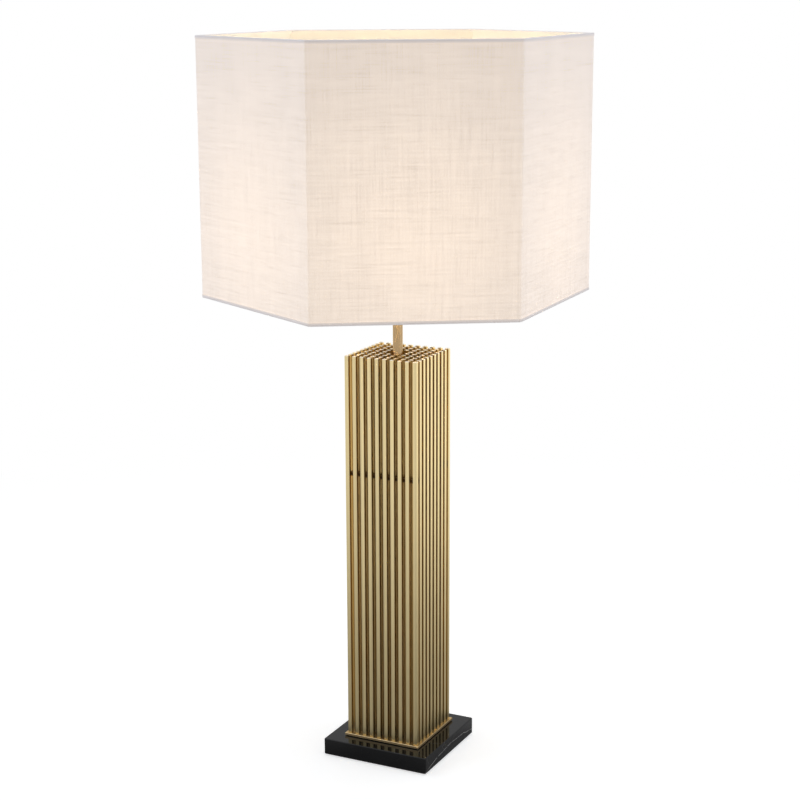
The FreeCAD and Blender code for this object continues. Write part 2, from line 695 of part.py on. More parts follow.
def make_shade_panel(number):
    """One flat panel of the shade, mitred against its neighbours."""
    turn = f"Sizes.shade_turned + {HALF_SIDE_ANGLE + (number - 1) * 2 * HALF_SIDE_ANGLE}"
    body = new_body(f"shade_panel_{number}", f"{SHADE_BOTTOM} + Sizes.tape_thickness", turn=turn)
    sketch = new_sketch(body, "mitred_strip")
    share = f"tan({HALF_SIDE_ANGLE})"
    draw_outline(sketch, [
        (f"-{PANEL_APOTHEM} * {share}", f"-{PANEL_APOTHEM}"),
        (f"{PANEL_APOTHEM} * {share}", f"-{PANEL_APOTHEM}"),
        (f"{INNER_APOTHEM} * {share}", f"-{INNER_APOTHEM}"),
        (f"-{INNER_APOTHEM} * {share}", f"-{INNER_APOTHEM}"),
    ])
    pad(body, sketch, "card", "Sizes.shade_height - 2 * Sizes.tape_thickness")


def make_linen_cover():
    """Linen sleeve round the six panels."""
    body = new_body("linen_cover", f"{SHADE_BOTTOM} + Sizes.tape_thickness", turn="Sizes.shade_turned")
    sketch = new_sketch(body, "six_sides")
    draw_hexagon(sketch, LINEN_APOTHEM)
    draw_hexagon(sketch, PANEL_APOTHEM)
    pad(body, sketch, "sleeve", "Sizes.shade_height - 2 * Sizes.tape_thickness")


def make_rim_tape(label, upper):
    """Tape folded over a rim: outside, over the edge, and inside past the wire frame."""
    level = f"{SHADE_TOP} - Sizes.tape_height" if upper else SHADE_BOTTOM
    body = new_body(label, level, turn="Sizes.shade_turned")
    inner = f"({INNER_APOTHEM} - Sizes.frame_wire - Sizes.tape_fit - Sizes.tape_thickness)"
    sketch = new_sketch(body, "folded_tape")
    draw_hexagon(sketch, "Sizes.shade_across_flats / 2")
    draw_hexagon(sketch, inner)
    pad(body, sketch, "band", "Sizes.tape_height")
    channel = new_sketch(body, "channel", offset="0" if upper else "Sizes.tape_thickness")
    draw_hexagon(channel, LINEN_APOTHEM)
    draw_hexagon(channel, f"({inner} + Sizes.tape_thickness)")
    pocket(body, channel, "fold", "Sizes.tape_height - Sizes.tape_thickness", reverse=True)


def bent_wire(corners, diameter, bend=0.0):
    """The shape of a round wire along straight runs, joined by arcs or, where it has no bend, mitred."""
    last = len(corners) - 1
    runs = []
    for index, corner in enumerate(corners):
        if not bend or index in (0, last):
            runs.append((corner, corner, corner))
            continue
        before = (corners[index - 1] - corner).normalize()
        after = (corners[index + 1] - corner).normalize()
        half_turn = (math.pi - before.getAngle(after)) / 2
        setback = bend * math.tan(half_turn)
        middle = (before + after).normalize() * (bend / math.cos(half_turn) - bend)
        runs.append((corner + before * setback, corner + middle, corner + after * setback))
    edges = []
    for start, finish in zip(runs, runs[1:]):
        if start[0] != start[2]:
            edges.append(Part.Arc(start[0], start[1], start[2]).toShape())
        edges.append(Part.LineSegment(start[2], finish[0]).toShape())
    path = Part.Wire(Part.__sortEdges__(edges))
    first = path.OrderedEdges[0]
    direction = first.tangentAt(first.FirstParameter)
    section = Part.Wire([Part.Circle(path.OrderedVertexes[0].Point, direction, diameter / 2).toShape()])
    mitred = 1
    return path.makePipeShell([section], True, False, mitred)


def add_wire_piece(label, wires):
    """A piece made of one wire or several."""
    feature = document.addObject("Part::Feature", label)
    feature.Label = label
    feature.Shape = wires[0] if len(wires) == 1 else Part.makeCompound(wires)
    sub_parts.append(feature)


def make_wire_frame(label, level):
    """Six-sided wire just inside the panels, at a rim: straight runs with mitred corners."""
    wire = value("Sizes.frame_wire")
    radius = value(WIRE_APOTHEM) / math.cos(math.radians(HALF_SIDE_ANGLE))
    centre = UP * value(level)
    corners = []
    for index in range(PANEL_COUNT):
        angle = math.radians(value("Sizes.shade_turned") + HALF_SIDE_ANGLE + index * 360.0 / PANEL_COUNT)
        corners.append(FreeCAD.Vector(math.cos(angle), math.sin(angle), 0) * radius)
    below = centre - UP * wire
    runs = []
    for start, finish in zip(corners, corners[1:] + corners[:1]):
        along = (finish - start).normalize()
        length = (finish - start).Length + 2 * wire
        run = Part.makeCylinder(wire / 2, length, centre + start - along * wire, along)
        outline = Part.makePolygon([below, below + start * 2, below + finish * 2, below])
        sector = Part.Face(outline).extrude(UP * wire * 2)
        runs.append(run.common(sector))
    frame = runs[0].multiFuse(runs[1:])
    add_wire_piece(label, [frame.Solids[0]])


def make_shade_spoke(number):
    """Wire from the fitter ring out and down, to lie on the lower frame at one of its corners."""
    corner = value(WIRE_APOTHEM) / math.cos(math.radians(HALF_SIDE_ANGLE))
    inner = value("Sizes.fitter_diameter / 2 + Sizes.seat_gap")
    ring_level = value(f"{FITTER_BOTTOM} + Sizes.fitter_thickness - Sizes.spoke_diameter / 2")
    rest_level = value(f"{SHADE_BOTTOM} + Sizes.tape_height + Sizes.seat_gap + Sizes.spoke_diameter / 2")
    foot = value("Sizes.spoke_foot")
    angle = math.radians(value("Sizes.shade_turned") - 90 + (number - 1) * 360.0 / SPOKE_COUNT)
    direction = FreeCAD.Vector(math.cos(angle), math.sin(angle), 0)
    places = [(inner, ring_level), (inner + foot, ring_level)]
    places += [(corner - foot, rest_level), (corner, rest_level)]
    corners = [direction * reach + UP * level for reach, level in places]
    spoke = bent_wire(corners, value("Sizes.spoke_diameter"), value("Sizes.spoke_bend"))
    add_wire_piece(f"shade_spoke_{number}", [spoke])


def make_bulb_glass():
    """Hollow glass: a tube with a round dome, which flares out of a narrower neck."""
    body = new_body("bulb_glass", BULB_BOTTOM)
    tube, neck, wall = "Sizes.glass_diameter / 2", "Sizes.neck_diameter / 2", "Sizes.glass_wall"
    neck_top = f"({NECK_FOOT} + Sizes.neck_length)"
    flare_top = f"({neck_top} + Sizes.flare_length)"
    dome = "Sizes.dome_rise"
    revolve(body, [
        (neck, NECK_FOOT),
        (neck, neck_top),
        (tube, flare_top),
        (tube, dome),
        ("0", f"{dome} + {tube}", dome),
        ("0", f"{dome} + {tube} - {wall}"),
        (f"{tube} - {wall}", dome, dome),
        (f"{tube} - {wall}", flare_top),
        (f"{neck} - {wall}", neck_top),
        (f"{neck} - {wall}", NECK_FOOT),
    ])


def make_bulb_base():
    """Contact button, insulator and screw cap, stacked under the glass."""
    radius, height = "Sizes.button_diameter / 2", "Sizes.button_height"
    button = new_body("bulb_contact", BULB_BOTTOM)
    revolve(button, [
        ("0", "0"),
        (f"{radius} - {height} / 2", "0"),
        (radius, f"{height} / 2"),
        (radius, height),
        ("0", height),
    ])
    top, depth = "Sizes.insulator_top_diameter / 2", "Sizes.insulator_height"
    insulator = new_body("bulb_insulator", f"{BULB_BOTTOM} + {height}")
    revolve(insulator, [("0", "0"), (radius, "0"), (top, depth), ("0", depth)])
    outer, wall = "Sizes.screw_cap_diameter / 2", "Sizes.screw_cap_wall"
    cap = new_body("bulb_cap", f"{BULB_BOTTOM} + {CAP_RISE}")
    revolve(cap, [
        ("0", "0"),
        (top, "0"),
        (outer, f"{outer} - {top}"),
        (outer, "Sizes.screw_cap_height"),
        (f"{outer} - {wall}", "Sizes.screw_cap_height"),
        (f"{outer} - {wall}", f"{outer} - {top} + {wall}"),
        (f"{top} - {wall}", wall),
        ("0", wall),
    ])


def make_bulb_inside():
    """Glass stem, lead wires and the filament between them."""
    stem = new_body("bulb_stem", f"{BULB_BOTTOM} + {NECK_FOOT}")
    foot = "(Sizes.neck_diameter / 2 - Sizes.glass_wall - Sizes.stem_fit)"
    shaft = "Sizes.stem_diameter / 2"
    revolve(stem, [
        ("0", "0"),
        (foot, "0"),
        (foot, "Sizes.stem_foot_rim"),
        (shaft, "Sizes.stem_foot_height"),
        (shaft, "Sizes.stem_height"),
        ("0", "Sizes.stem_height"),
    ])
    lead, filament = value("Sizes.lead_diameter"), value("Sizes.filament_diameter")
    start = value(f"{BULB_BOTTOM} + {NECK_FOOT} + Sizes.stem_height") + lead / 2
    tip = start + value("Sizes.lead_height")
    near, far = value("Sizes.stem_diameter / 4"), value("Sizes.lead_spread")
    leads = []
    for side in (-1, 1):
        ends = [FreeCAD.Vector(side * near, 0, start), FreeCAD.Vector(side * far, 0, tip)]
        leads.append(bent_wire(ends, lead))
    add_wire_piece("bulb_leads", leads)
    level = tip + filament / 2 + lead / 2
    crown = level + value("Sizes.filament_rise")
    corners = [FreeCAD.Vector(-far, 0, level), FreeCAD.Vector(0, 0, crown), FreeCAD.Vector(far, 0, level)]
    add_wire_piece("bulb_filament", [bent_wire(corners, filament)])


def check_document():
    """Stops when a feature failed or a piece has no sound shape."""
    for item in document.Objects:
        if "Invalid" in item.State or "Error" in item.State:
            raise RuntimeError(f"{item.Label} is {item.State}")
    for piece in sub_parts:
        if piece.Shape.isNull() or not piece.Shape.isValid():
            raise RuntimeError(f"{piece.Label} has no sound shape")


make_felt()
make_stone_base()
make_cable_bush()
make_bottom_plate()
for rod_row in range(1, ROD_COUNT + 1):
    make_rod_row(rod_row)
make_spacer_strips()
make_pipe_and_tube()
make_holder_cap()
make_holder_insert()
make_holder_contacts()
make_holder_sleeve()
make_switch()
make_fitter_ring()
make_retaining_ring()
make_wire_frame("lower_frame", f"{SHADE_BOTTOM} + {WIRE_SEAT}")
make_wire_frame("upper_frame", f"{SHADE_TOP} - {WIRE_SEAT}")
for spoke_number in range(1, SPOKE_COUNT + 1):
    make_shade_spoke(spoke_number)
for panel_number in range(1, PANEL_COUNT + 1):
    make_shade_panel(panel_number)
make_linen_cover()
make_rim_tape("upper_rim_tape", True)
make_rim_tape("lower_rim_tape", False)
make_bulb_glass()
make_bulb_base()
make_bulb_inside()

document.recompute()
check_document()
os.makedirs("parts", exist_ok=True)
for piece in sub_parts:
    piece.Shape.exportStep(f"parts/{piece.Label}.step")
print(f"{len(sub_parts)} pieces written")
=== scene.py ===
import math

import bpy
from bpy.props import FloatProperty, FloatVectorProperty, IntProperty, PointerProperty
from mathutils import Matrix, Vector, noise


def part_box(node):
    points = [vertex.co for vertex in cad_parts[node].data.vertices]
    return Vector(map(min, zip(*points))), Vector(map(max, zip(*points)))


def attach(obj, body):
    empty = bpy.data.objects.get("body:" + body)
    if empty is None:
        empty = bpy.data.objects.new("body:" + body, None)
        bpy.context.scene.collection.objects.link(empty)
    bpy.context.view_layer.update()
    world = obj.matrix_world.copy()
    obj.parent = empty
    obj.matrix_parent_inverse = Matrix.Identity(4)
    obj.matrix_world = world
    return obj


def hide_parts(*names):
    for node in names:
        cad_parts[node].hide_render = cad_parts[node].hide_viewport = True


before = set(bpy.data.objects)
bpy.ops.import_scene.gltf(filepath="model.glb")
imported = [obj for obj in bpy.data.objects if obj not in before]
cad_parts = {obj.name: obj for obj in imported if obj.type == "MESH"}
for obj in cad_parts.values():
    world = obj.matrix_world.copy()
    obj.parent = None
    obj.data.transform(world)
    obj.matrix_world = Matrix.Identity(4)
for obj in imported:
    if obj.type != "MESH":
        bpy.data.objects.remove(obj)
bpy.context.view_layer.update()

bl_info = {
    "name": "Column table lamp",
    "version": (1, 0, 0),
    "blender": (4, 5, 0),
    "location": "View3D > Sidebar > Lamp",
    "description": "Dresses a table lamp of square brass rods with a six-sided linen shade",
    "category": "Add Mesh",
}

SIDES = 6
SHADE_TURN = math.radians(1.9)
SHADE_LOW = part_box("lower_rim_tape")[0].z
SHADE_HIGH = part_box("upper_rim_tape")[1].z
TAPE_OUTSIDE, TAPE_INSIDE = 0.20098, 0.19522  # from the shade's middle
MERGE = 0.000004  # vertices nearer than this become one
BULB_CENTRE = Vector((0, 0, 0.668))
LIGHTS_AIM = Vector((0, 0, 0.45))
SOFTBOXES = (  # name, place, size, watts, colour
    ("key_light", (-2.3, -1.3, 2.1), 1.7, 17.5, (0.64, 0.79, 1.0)),
    ("side_light", (2.4, 0.7, 1.6), 1.5, 10, (0.63, 0.78, 1.0)),
    ("top_light", (0.1, 0.5, 3.0), 1.8, 20, (1.0, 1.0, 1.0)),
)
CAMERA_PLACE = (0.94112, -1.89463, 0.9405)
CAMERA_AIM = Vector((-0.43224, 0.87264, -0.22730))
CAMERA_ROLL = math.radians(-0.206)
FOCAL_PIXELS, PICTURE_PIXELS, SENSOR = 1797.8, 800, 36
WHITE = (1.0, 1.0, 1.0)
LIT_CARD = (1.0, 0.91, 0.74)  # the bulb's light on the lining
YELLOW_BRASS = (0.72, 0.57, 0.30)
FINE_GRAIN = (0.0008,) * 3
ROD_ROWS = sorted(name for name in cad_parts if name.startswith("rod_row"))
PANELS = sorted(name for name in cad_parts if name.startswith("shade_panel"))
SPOKES = sorted(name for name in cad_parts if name.startswith("shade_spoke"))


def colour(name, description, default):
    """A colour property."""
    look = {"subtype": "COLOR", "size": 3, "min": 0, "max": 1}
    return FloatVectorProperty(name=name, description=description, default=default, **look)


def length(name, description, default):
    """A length property, in metres."""
    look = {"subtype": "DISTANCE", "unit": "LENGTH", "precision": 5}
    return FloatProperty(name=name, description=description, default=default, **look)


class LampSizes(bpy.types.PropertyGroup):
    """Sizes of the finer shapes and of the textures."""
    rod_pitch: length("Rod pitch", "From one rod to the next", 0.010)
    yarn: length("Yarn pitch", "From one yarn to the next", 0.00112)
    slub: length("Slub length", "Length of a thick stretch of yarn", 0.042)
    linen_fold: length("Linen fold", "Width of the linen bent round a corner", 0.0016)
    linen_thickness: length("Linen thickness", "Thickness of the linen", 0.00045)
    tape_thickness: length("Tape thickness", "Thickness of the rim tape", 0.00038)
    tape_height: length("Tape height", "Reach of the tape from the rim", 0.004)
    linen_reach: length("Linen reach", "Middle of the shade to the linen", 0.20058)
    frame_reach: length("Frame reach", "Middle of the shade to the wire", 0.19745)
    frame_bend: length("Frame bend", "Length of wire bent at a corner", 0.006)
    bulb_thread: length("Bulb thread pitch", "Pitch of the bulb's rolled thread", 0.0036)
    sleeve_thread: length("Sleeve thread pitch", "Pitch of the retaining ring's thread", 0.0026)
    coil_turn: length("Filament pitch", "From one turn to the next", 0.00042)
    flutes: IntProperty(name="Flutes", description="Grooves in the knob", default=12, min=3)
    notches: IntProperty(name="Notches", description="Notches in the ring", default=12, min=3)


class LampColours(bpy.types.PropertyGroup):
    """Colours of the finishes."""
    rods: colour("Rod brass", "Satin brass of the rods", (0.675, 0.556, 0.302))
    plate: colour("Plate brass", "Brass of the bottom plate", (0.66, 0.485, 0.265))
    # painted shade: brass inside the column is darker and more saturated, standing for the shade in
    # the gaps
    inner: colour("Inner brass", "Painted shade between the rods", (0.66, 0.465, 0.18))
    # painted highlight: the rods' tops are lighter, standing for the bulb's light falling on them
    rod_top_light: colour("Rod end", "Painted light on top of the rods", (1.0, 0.92, 0.82))
    tube: colour("Tube brass", "Satin brass of the centre tube", (0.63, 0.435, 0.23))
    # partly painted shade: the strips sit deep between the rods
    solder: colour("Soldered brass", "Brass darkened by solder", (0.10, 0.055, 0.022))
    stone: colour("Stone", "Polished black stone", (0.008, 0.008, 0.0085))
    vein: colour("Vein", "Pale vein in the stone", (0.30, 0.29, 0.28))
    linen: colour("Linen", "Cloth of the cover", (0.82, 0.81, 0.825))
    glow: colour("Glow", "Light through the linen", (1.0, 0.735, 0.475))
    slub: colour("Thick yarn", "Thick stretches of yarn", (0.68, 0.63, 0.64))
    lining: colour("Lining", "White lining card", (0.88, 0.83, 0.74))
    tape: colour("Tape", "Cotton tape on the rims", (0.80, 0.80, 0.845))
    holder: colour("Lampholder", "Black moulded lampholder", (0.022, 0.021, 0.020))
    coat: colour("Powder coat", "White coat of the wires", (0.80, 0.77, 0.72))
    zinc: colour("Zinc", "Zinc-plated steel", (0.60, 0.60, 0.58))


class Signal:
    """An output of a material's node. Arithmetic on it adds Math nodes."""

    def __init__(self, finish, socket):
        self.finish = finish
        self.socket = socket

    def math(self, operation, *values):
        return self.finish.math(operation, *values)

    def __add__(self, other):
        return self.math("ADD", self, other)

    def __sub__(self, other):
        return self.math("SUBTRACT", self, other)

    def __rsub__(self, other):
        return self.math("SUBTRACT", other, self)

    def __mul__(self, other):
        return self.math("MULTIPLY", self, other)

    def __truediv__(self, other):
        return self.math("DIVIDE", self, other)

    def __pow__(self, other):
        return self.math("POWER", self, other)

    __radd__ = __add__
    __rmul__ = __mul__

    def floor(self):
        return self.math("FLOOR", self)

    def sine(self):
        return self.math("SINE", self)

    def size(self):
        return self.math("ABSOLUTE", self)

    def step(self, low, high, first=0.0, last=1.0):
        """Goes smoothly from one value to another as the signal goes from low to high."""
        settings = {"interpolation_type": "SMOOTHSTEP"}
        return self.finish.node("ShaderNodeMapRange", settings, (self, low, high, first, last))


class NodeMaker:
    """Short ways to add nodes to a tree."""

    def __init__(self, tree):
        self.tree = tree

    def node(self, kind, settings=None, values=(), output=0):
        """Adds a node with its settings and its sockets' values or links. Returns one output."""
        made = self.tree.nodes.new(kind)
        for key, setting in (settings or {}).items():
            setattr(made, key, setting)
        for key, value in values.items() if isinstance(values, dict) else enumerate(values):
            self.link(made.inputs[key], value)
        return Signal(self, made.outputs[output])

    def link(self, socket, value):
        """Sets a socket, or joins an output to it."""
        if isinstance(value, Signal):
            self.tree.links.new(value.socket, socket)
        elif socket.type == "RGBA":
            socket.default_value = (*value[:3], 1)
        else:
            socket.default_value = value

    def math(self, operation, *values):
        """A Math node."""
        return self.node("ShaderNodeMath", {"operation": operation}, values)

    def ray(self, kind):
        """1 for rays of one kind, and 0 for the others."""
        return self.node("ShaderNodeLightPath", output=f"Is {kind} Ray")

    def vector_math(self, operation, *values, output="Vector"):
        """A Vector Math node."""
        return self.node("ShaderNodeVectorMath", {"operation": operation}, values, output)

    def length(self, vector):
        """The length of a vector."""
        return self.vector_math("LENGTH", vector, output="Value")

    def parts(self, vector):
        """The three numbers of a vector."""
        made = self.node("ShaderNodeSeparateXYZ", values=(vector,)).socket.node
        return [Signal(self, socket) for socket in made.outputs]

    def vector(self, x, y, z=0.0):
        """A vector of three numbers."""
        return self.node("ShaderNodeCombineXYZ", values=(x, y, z))

    def noise(self, vector, scale=1.0, detail=2.0, roughness=0.5, distortion=0.0):
        """Soft noise from 0 to 1."""
        values = {"Vector": vector, "Scale": scale, "Detail": detail}
        values |= {"Roughness": roughness, "Distortion": distortion}
        return self.node("ShaderNodeTexNoise", values=values)

    def dice(self, vector):
        """One random number for each whole place."""
        return self.node("ShaderNodeTexWhiteNoise", values={"Vector": vector})

    def blend(self, factor, first, second):
        """A colour between two."""
        values = {0: factor, 6: first, 7: second}
        return self.node("ShaderNodeMix", {"data_type": "RGBA"}, values, output=2)

    def shade(self, base, factor):
        """A colour made lighter or darker by a number."""
        return self.node("ShaderNodeVectorMath", {"operation": "SCALE"}, {0: base, 3: factor})


class Finish(NodeMaker):
    """A material with a Principled shader, whose constant values are set by name. Its place is
    in object coordinates, in metres."""

    def __init__(self, name, **constants):
        self.material = bpy.data.materials.new(name)
        self.material.use_nodes = True
        super().__init__(self.material.node_tree)
        self.shader = self.tree.nodes["Principled BSDF"]
        self.place = self.node("ShaderNodeTexCoord", output="Object")
        for key, value in constants.items():
            self.feed(key.replace("_", " ").title().replace("Ior", "IOR"), value)

    def feed(self, name, value):
        """Gives the Principled shader one of its values."""
        self.link(self.shader.inputs[name], value)

    def paint(self, tint, factor):
        """Feeds a colour times a number to the surface's own colour."""
        self.feed("Base Color", self.shade(tint, factor))

    def glow(self, tint, factor):
        """Feeds a colour times a number to the surface's light."""
        self.feed("Emission Color", self.shade(tint, factor))

    def mottle(self, scale, detail=2, roughness=0.5, distortion=0.0):
        """Soft noise over the object."""
        return self.noise(self.place, scale, detail, roughness, distortion)

    def streaks(self, size, detail=3, distortion=0.0):
        """Soft noise over the object, as long as this size along each direction."""
        drawn = self.vector_math("DIVIDE", self.place, size)
        return self.noise(drawn, detail=detail, distortion=distortion)

    def cloth_place(self):
        """The piece's own map, in metres along and up the cloth."""
        return self.node("ShaderNodeUVMap", {"uv_map": "cloth"})

    def bump(self, height, distance, strength=1.0):
        """Feeds a height, from 0 to 1, to the surface's normal."""
        values = {"Strength": strength, "Distance": distance, "Height": height}
        self.feed("Normal", self.node("ShaderNodeBump", values=values))


def colours():
    return bpy.context.scene.lamp_colours


def sizes():
    return bpy.context.scene.lamp_sizes


def rod_colour(finish, base, shade):
    """Each rod in its own tone, with painted shade between the rods and near their feet, and a
    painted highlight on their tops.
    """
    x, y, z = finish.parts(finish.place)
    pitch = sizes().rod_pitch
    rod = finish.vector((x / pitch + 0.5).floor(), (y / pitch + 0.5).floor())
    shade = shade * (finish.dice(rod) * 0.20 + 0.91)
    # Painted shade: rod faces inside the column get the darker inner brass, darker still near the
    # plate.
    outside = finish.math("MAXIMUM", x.size(), y.size()).step(pitch * 4.70, pitch * 4.72)
    foot, top = (corner.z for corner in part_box(ROD_ROWS[0]))
    inner = finish.blend(z.step(foot, foot + 0.018), (0.36, 0.32, 0.22), colours().inner)
    gap_shaded = finish.blend(outside, inner, base)
    # Painted highlight: the tops are lighter, for the bulb's light falling on them.
    ends = z.step(top - 0.0005, top - 0.0002)
    return finish.shade(finish.blend(ends, gap_shaded, colours().rod_top_light), shade)


def brass_finish(name, base, grain=(0.00035, 0.00035, 0.05), rough=0.34, rods=False):
    """Satin brass with a fine grain along one direction, handling marks and a faint patina."""
    finish = Finish(name, metallic=1.0, specular_tint=(0.96, 0.88, 0.70))
    lines = finish.streaks(grain)
    cloud = finish.mottle(38, 4, 0.6)
    shade = lines * 0.10 + cloud * 0.16 + 0.87
    base = rod_colour(finish, base, shade) if rods else finish.shade(base, shade)
    finish.feed("Base Color", base)
    finish.feed("Roughness", lines * 0.10 + cloud * 0.08 + (rough - 0.09))
    finish.bump(lines, 0.00002, 0.5)
    return finish


def solder_and_shade_finish(middle):
    """Brass darkened partly by solder and partly as painted shade, as the strips sit deep between
    the rods; darkest at mid-height.
    """
    finish = Finish("soldered_shaded_brass", metallic=1.0, roughness=0.6)
    cloud = finish.mottle(900, 3)
    away = (finish.parts(finish.place)[2] - middle + cloud * 0.0008 - 0.0004).size()
    # Partly painted shade: the darkest brass, at mid-height, also stands for the shadow between the
    # rods.
    burnt_and_shaded = finish.blend(away.step(0.0013, 0.0021), colours().solder, (0.30, 0.20, 0.085))
    finish.paint(burnt_and_shaded, cloud * 0.5 + 0.75)
    finish.bump(cloud, 0.00005, 0.6)
    return finish


def stone_finish():
    """Polished black stone: clouds, a pale vein across its right side, and thinner veins."""
    finish = Finish("polished_black_stone", specular_ior_level=0.32)
    x, y, z = finish.parts(finish.place)
    cloud = finish.mottle(26, 5, 0.62)
    wiggle = finish.noise(finish.vector(y * 55, x * 20), detail=3) - 0.5
    rise = 0.0135 - (y - 0.008) * (y - 0.008) * 1.75 + wiggle * 0.0030
    off = (z - rise + (0.070 - x) * 0.22).size()
    vein = off.step(0.00020, 0.00062, 1.0, 0.0) * finish.mottle(180).step(0.30, 0.52)
    warped = finish.mottle(9, 3, distortion=1.3)
    thread = (warped - 0.5).size().step(0.0, 0.0045, 1.0, 0.0)
    thread = thread * finish.mottle(17).step(0.56, 0.70) * 0.30
    specks = finish.mottle(900, 1).step(0.70, 0.78) * 0.05
    clamped = {"operation": "ADD", "use_clamp": True}
    mark = finish.node("ShaderNodeMath", clamped, (vein + thread, specks))
    ground = finish.shade(colours().stone, cloud * 1.1 + 0.45)
    finish.feed("Base Color", finish.blend(mark, ground, colours().vein))
    finish.feed("Roughness", cloud * 0.05 + mark * 0.12 + 0.045)
    finish.bump(cloud * 0.4 + mark * -0.6, 0.00002, 0.3)
    return finish


def yarns(finish):
    """A plain weave on the cloth's map: each yarn's tone, its thick stretches, the crossings of
    the yarns, and wide soft patches."""
    x, y, _ = finish.parts(finish.cloth_place())
    pitch, slub = sizes().yarn, sizes().slub
    thick, tone = [], -1.0
    for along, across, seed in ((x, y, 0.0), (y, x, 9.0)):
        own = finish.dice(finish.vector((across / pitch).floor(), seed))
        tone = own + tone
        thick.append(finish.noise(finish.vector(along / slub + own * 90, own * 40, seed), detail=1))
    slubs = thick[0].step(0.55, 0.78) + thick[1].step(0.57, 0.80)
    over = (x * (math.pi / pitch)).sine() * (y * (math.pi / pitch)).sine()
    patch = finish.noise(finish.vector(x / 0.030, y / 0.090, 1.7), detail=1)
    return thick[0] + thick[1] + tone * 0.26 - 1.0, slubs, over, patch - 0.5


def falloff(finish, peak, floor):
    """Light of the bulb on an upright wall: strongest level with the bulb and nearest to it."""
    away = finish.length(finish.vector_math("SUBTRACT", finish.place, tuple(BULB_CENTRE)))
    return finish.math("DIVIDE", 0.2, away) ** 3 * peak + floor


def across_shade(finish):
    """How far a point lies from the lamp's middle, square to the nearest side of the shade."""
    reach = 0.0
    for side in range(SIDES // 2):
        turn = SHADE_TURN + side * math.tau / SIDES
        out = (math.cos(turn), math.sin(turn), 0)
        along = finish.vector_math("DOT_PRODUCT", finish.place, out, output="Value")
        reach = finish.math("MAXIMUM", along.size(), reach)
    return reach


def linen_finish():
    """Plain-woven linen over a white card, lit by the room outside and by the bulb inside."""
    sheen = {"sheen_weight": 0.30, "sheen_roughness": 0.5, "sheen_tint": (0.93, 0.95, 1.0)}
    dull = {"roughness": 0.92, "specular_ior_level": 0.15}
    finish = Finish("linen", emission_strength=1.0, **dull, **sheen)
    weave, slubs, over, patch = yarns(finish)
    light = weave * -0.19 + over * 0.012 + patch * 0.03 + 1.0
    finish.paint(finish.blend(slubs * 0.15, colours().linen, colours().slub), light)
    through = weave * -0.21 - slubs * 0.03 + patch * 0.10 + 1.01
    finish.glow(colours().glow, falloff(finish, 0.26, 0.295) * through)
    finish.bump(over * 0.25 + weave * 0.5 + slubs * 0.5 + 0.4, 0.00016, 0.45)
    return finish


def lining_finish():
    """White lining card, bright with the bulb's light."""
    finish = Finish("shade_lining", roughness=0.7, specular_ior_level=0.25, emission_strength=1.0)
    fibre = finish.mottle(420, 3, 0.7)
    cloud = finish.mottle(14, 3)
    finish.paint(colours().lining, fibre * 0.06 + cloud * 0.05 + 0.94)
    finish.glow(LIT_CARD, falloff(finish, 0.05, 0.155) * (fibre * 0.08 + cloud * 0.10 + 0.91))
    finish.bump(fibre * 0.6 + cloud * 0.4, 0.00006, 0.6)
    return finish


def tape_finish(rim):
    """Ribbed cotton tape, glued round a rim. Light comes through it outside, away from the fold,
    and it is as bright as the lining inside."""
    dull = {"roughness": 0.9, "specular_ior_level": 0.15, "sheen_weight": 0.2}
    finish = Finish("cotton_tape", emission_strength=1.0, **dull)
    x, y, _ = finish.parts(finish.cloth_place())
    rib = (x * (math.tau / 0.0009)).sine() * 0.5 + 0.5
    fleck = finish.noise(finish.vector(x / 0.0006, y / 0.0006), detail=2)
    stain = finish.noise(finish.vector(x / 0.03, y / 0.03, 2.2), detail=2)
    cotton = rib * 0.04 + fleck * 0.06 + stain * 0.06 + 0.91
    drop = (finish.parts(finish.place)[2] - rim).size()
    inside = across_shade(finish).step(0.1965, 0.1995, 1.0, 0.0) * drop.step(0.0004, 0.0014)
    finish.paint(finish.blend(inside, colours().tape, colours().lining), cotton)
    glow = drop.step(0.0006, sizes().tape_height, 0.15, 0.30)
    glow = (glow + (0.18 - glow) * inside) * cotton
    finish.glow(finish.blend(inside, colours().glow, LIT_CARD), glow)
    finish.bump(rib * 0.7 + fleck * 0.3, 0.00012, 0.7)
    return finish


def moulded_finish(name, base, rough=0.38, grain=1600.0):
    """Moulded plastic or rubber with a fine grain and a little dust."""
    finish = Finish(name, specular_ior_level=0.45)
    skin = finish.mottle(grain)
    dust = finish.mottle(70, 4, 0.65)
    finish.feed("Base Color", finish.blend(dust.step(0.45, 0.85) * 0.10, base, (0.35, 0.33, 0.30)))
    finish.feed("Roughness", skin * 0.10 + dust * 0.16 + (rough - 0.12))
    finish.bump(skin, 0.00003, 0.6)
    return finish


def coat_finish():
    """White powder coat with its orange-peel skin."""
    finish = Finish("white_powder_coat", specular_ior_level=0.5)
    peel = finish.mottle(1100)
    cloud = finish.mottle(60, 3)
    finish.paint(colours().coat, peel * 0.04 + cloud * 0.08 + 0.93)
    finish.feed("Roughness", cloud * 0.15 + 0.33)
    finish.bump(peel, 0.00005, 0.6)
    return finish


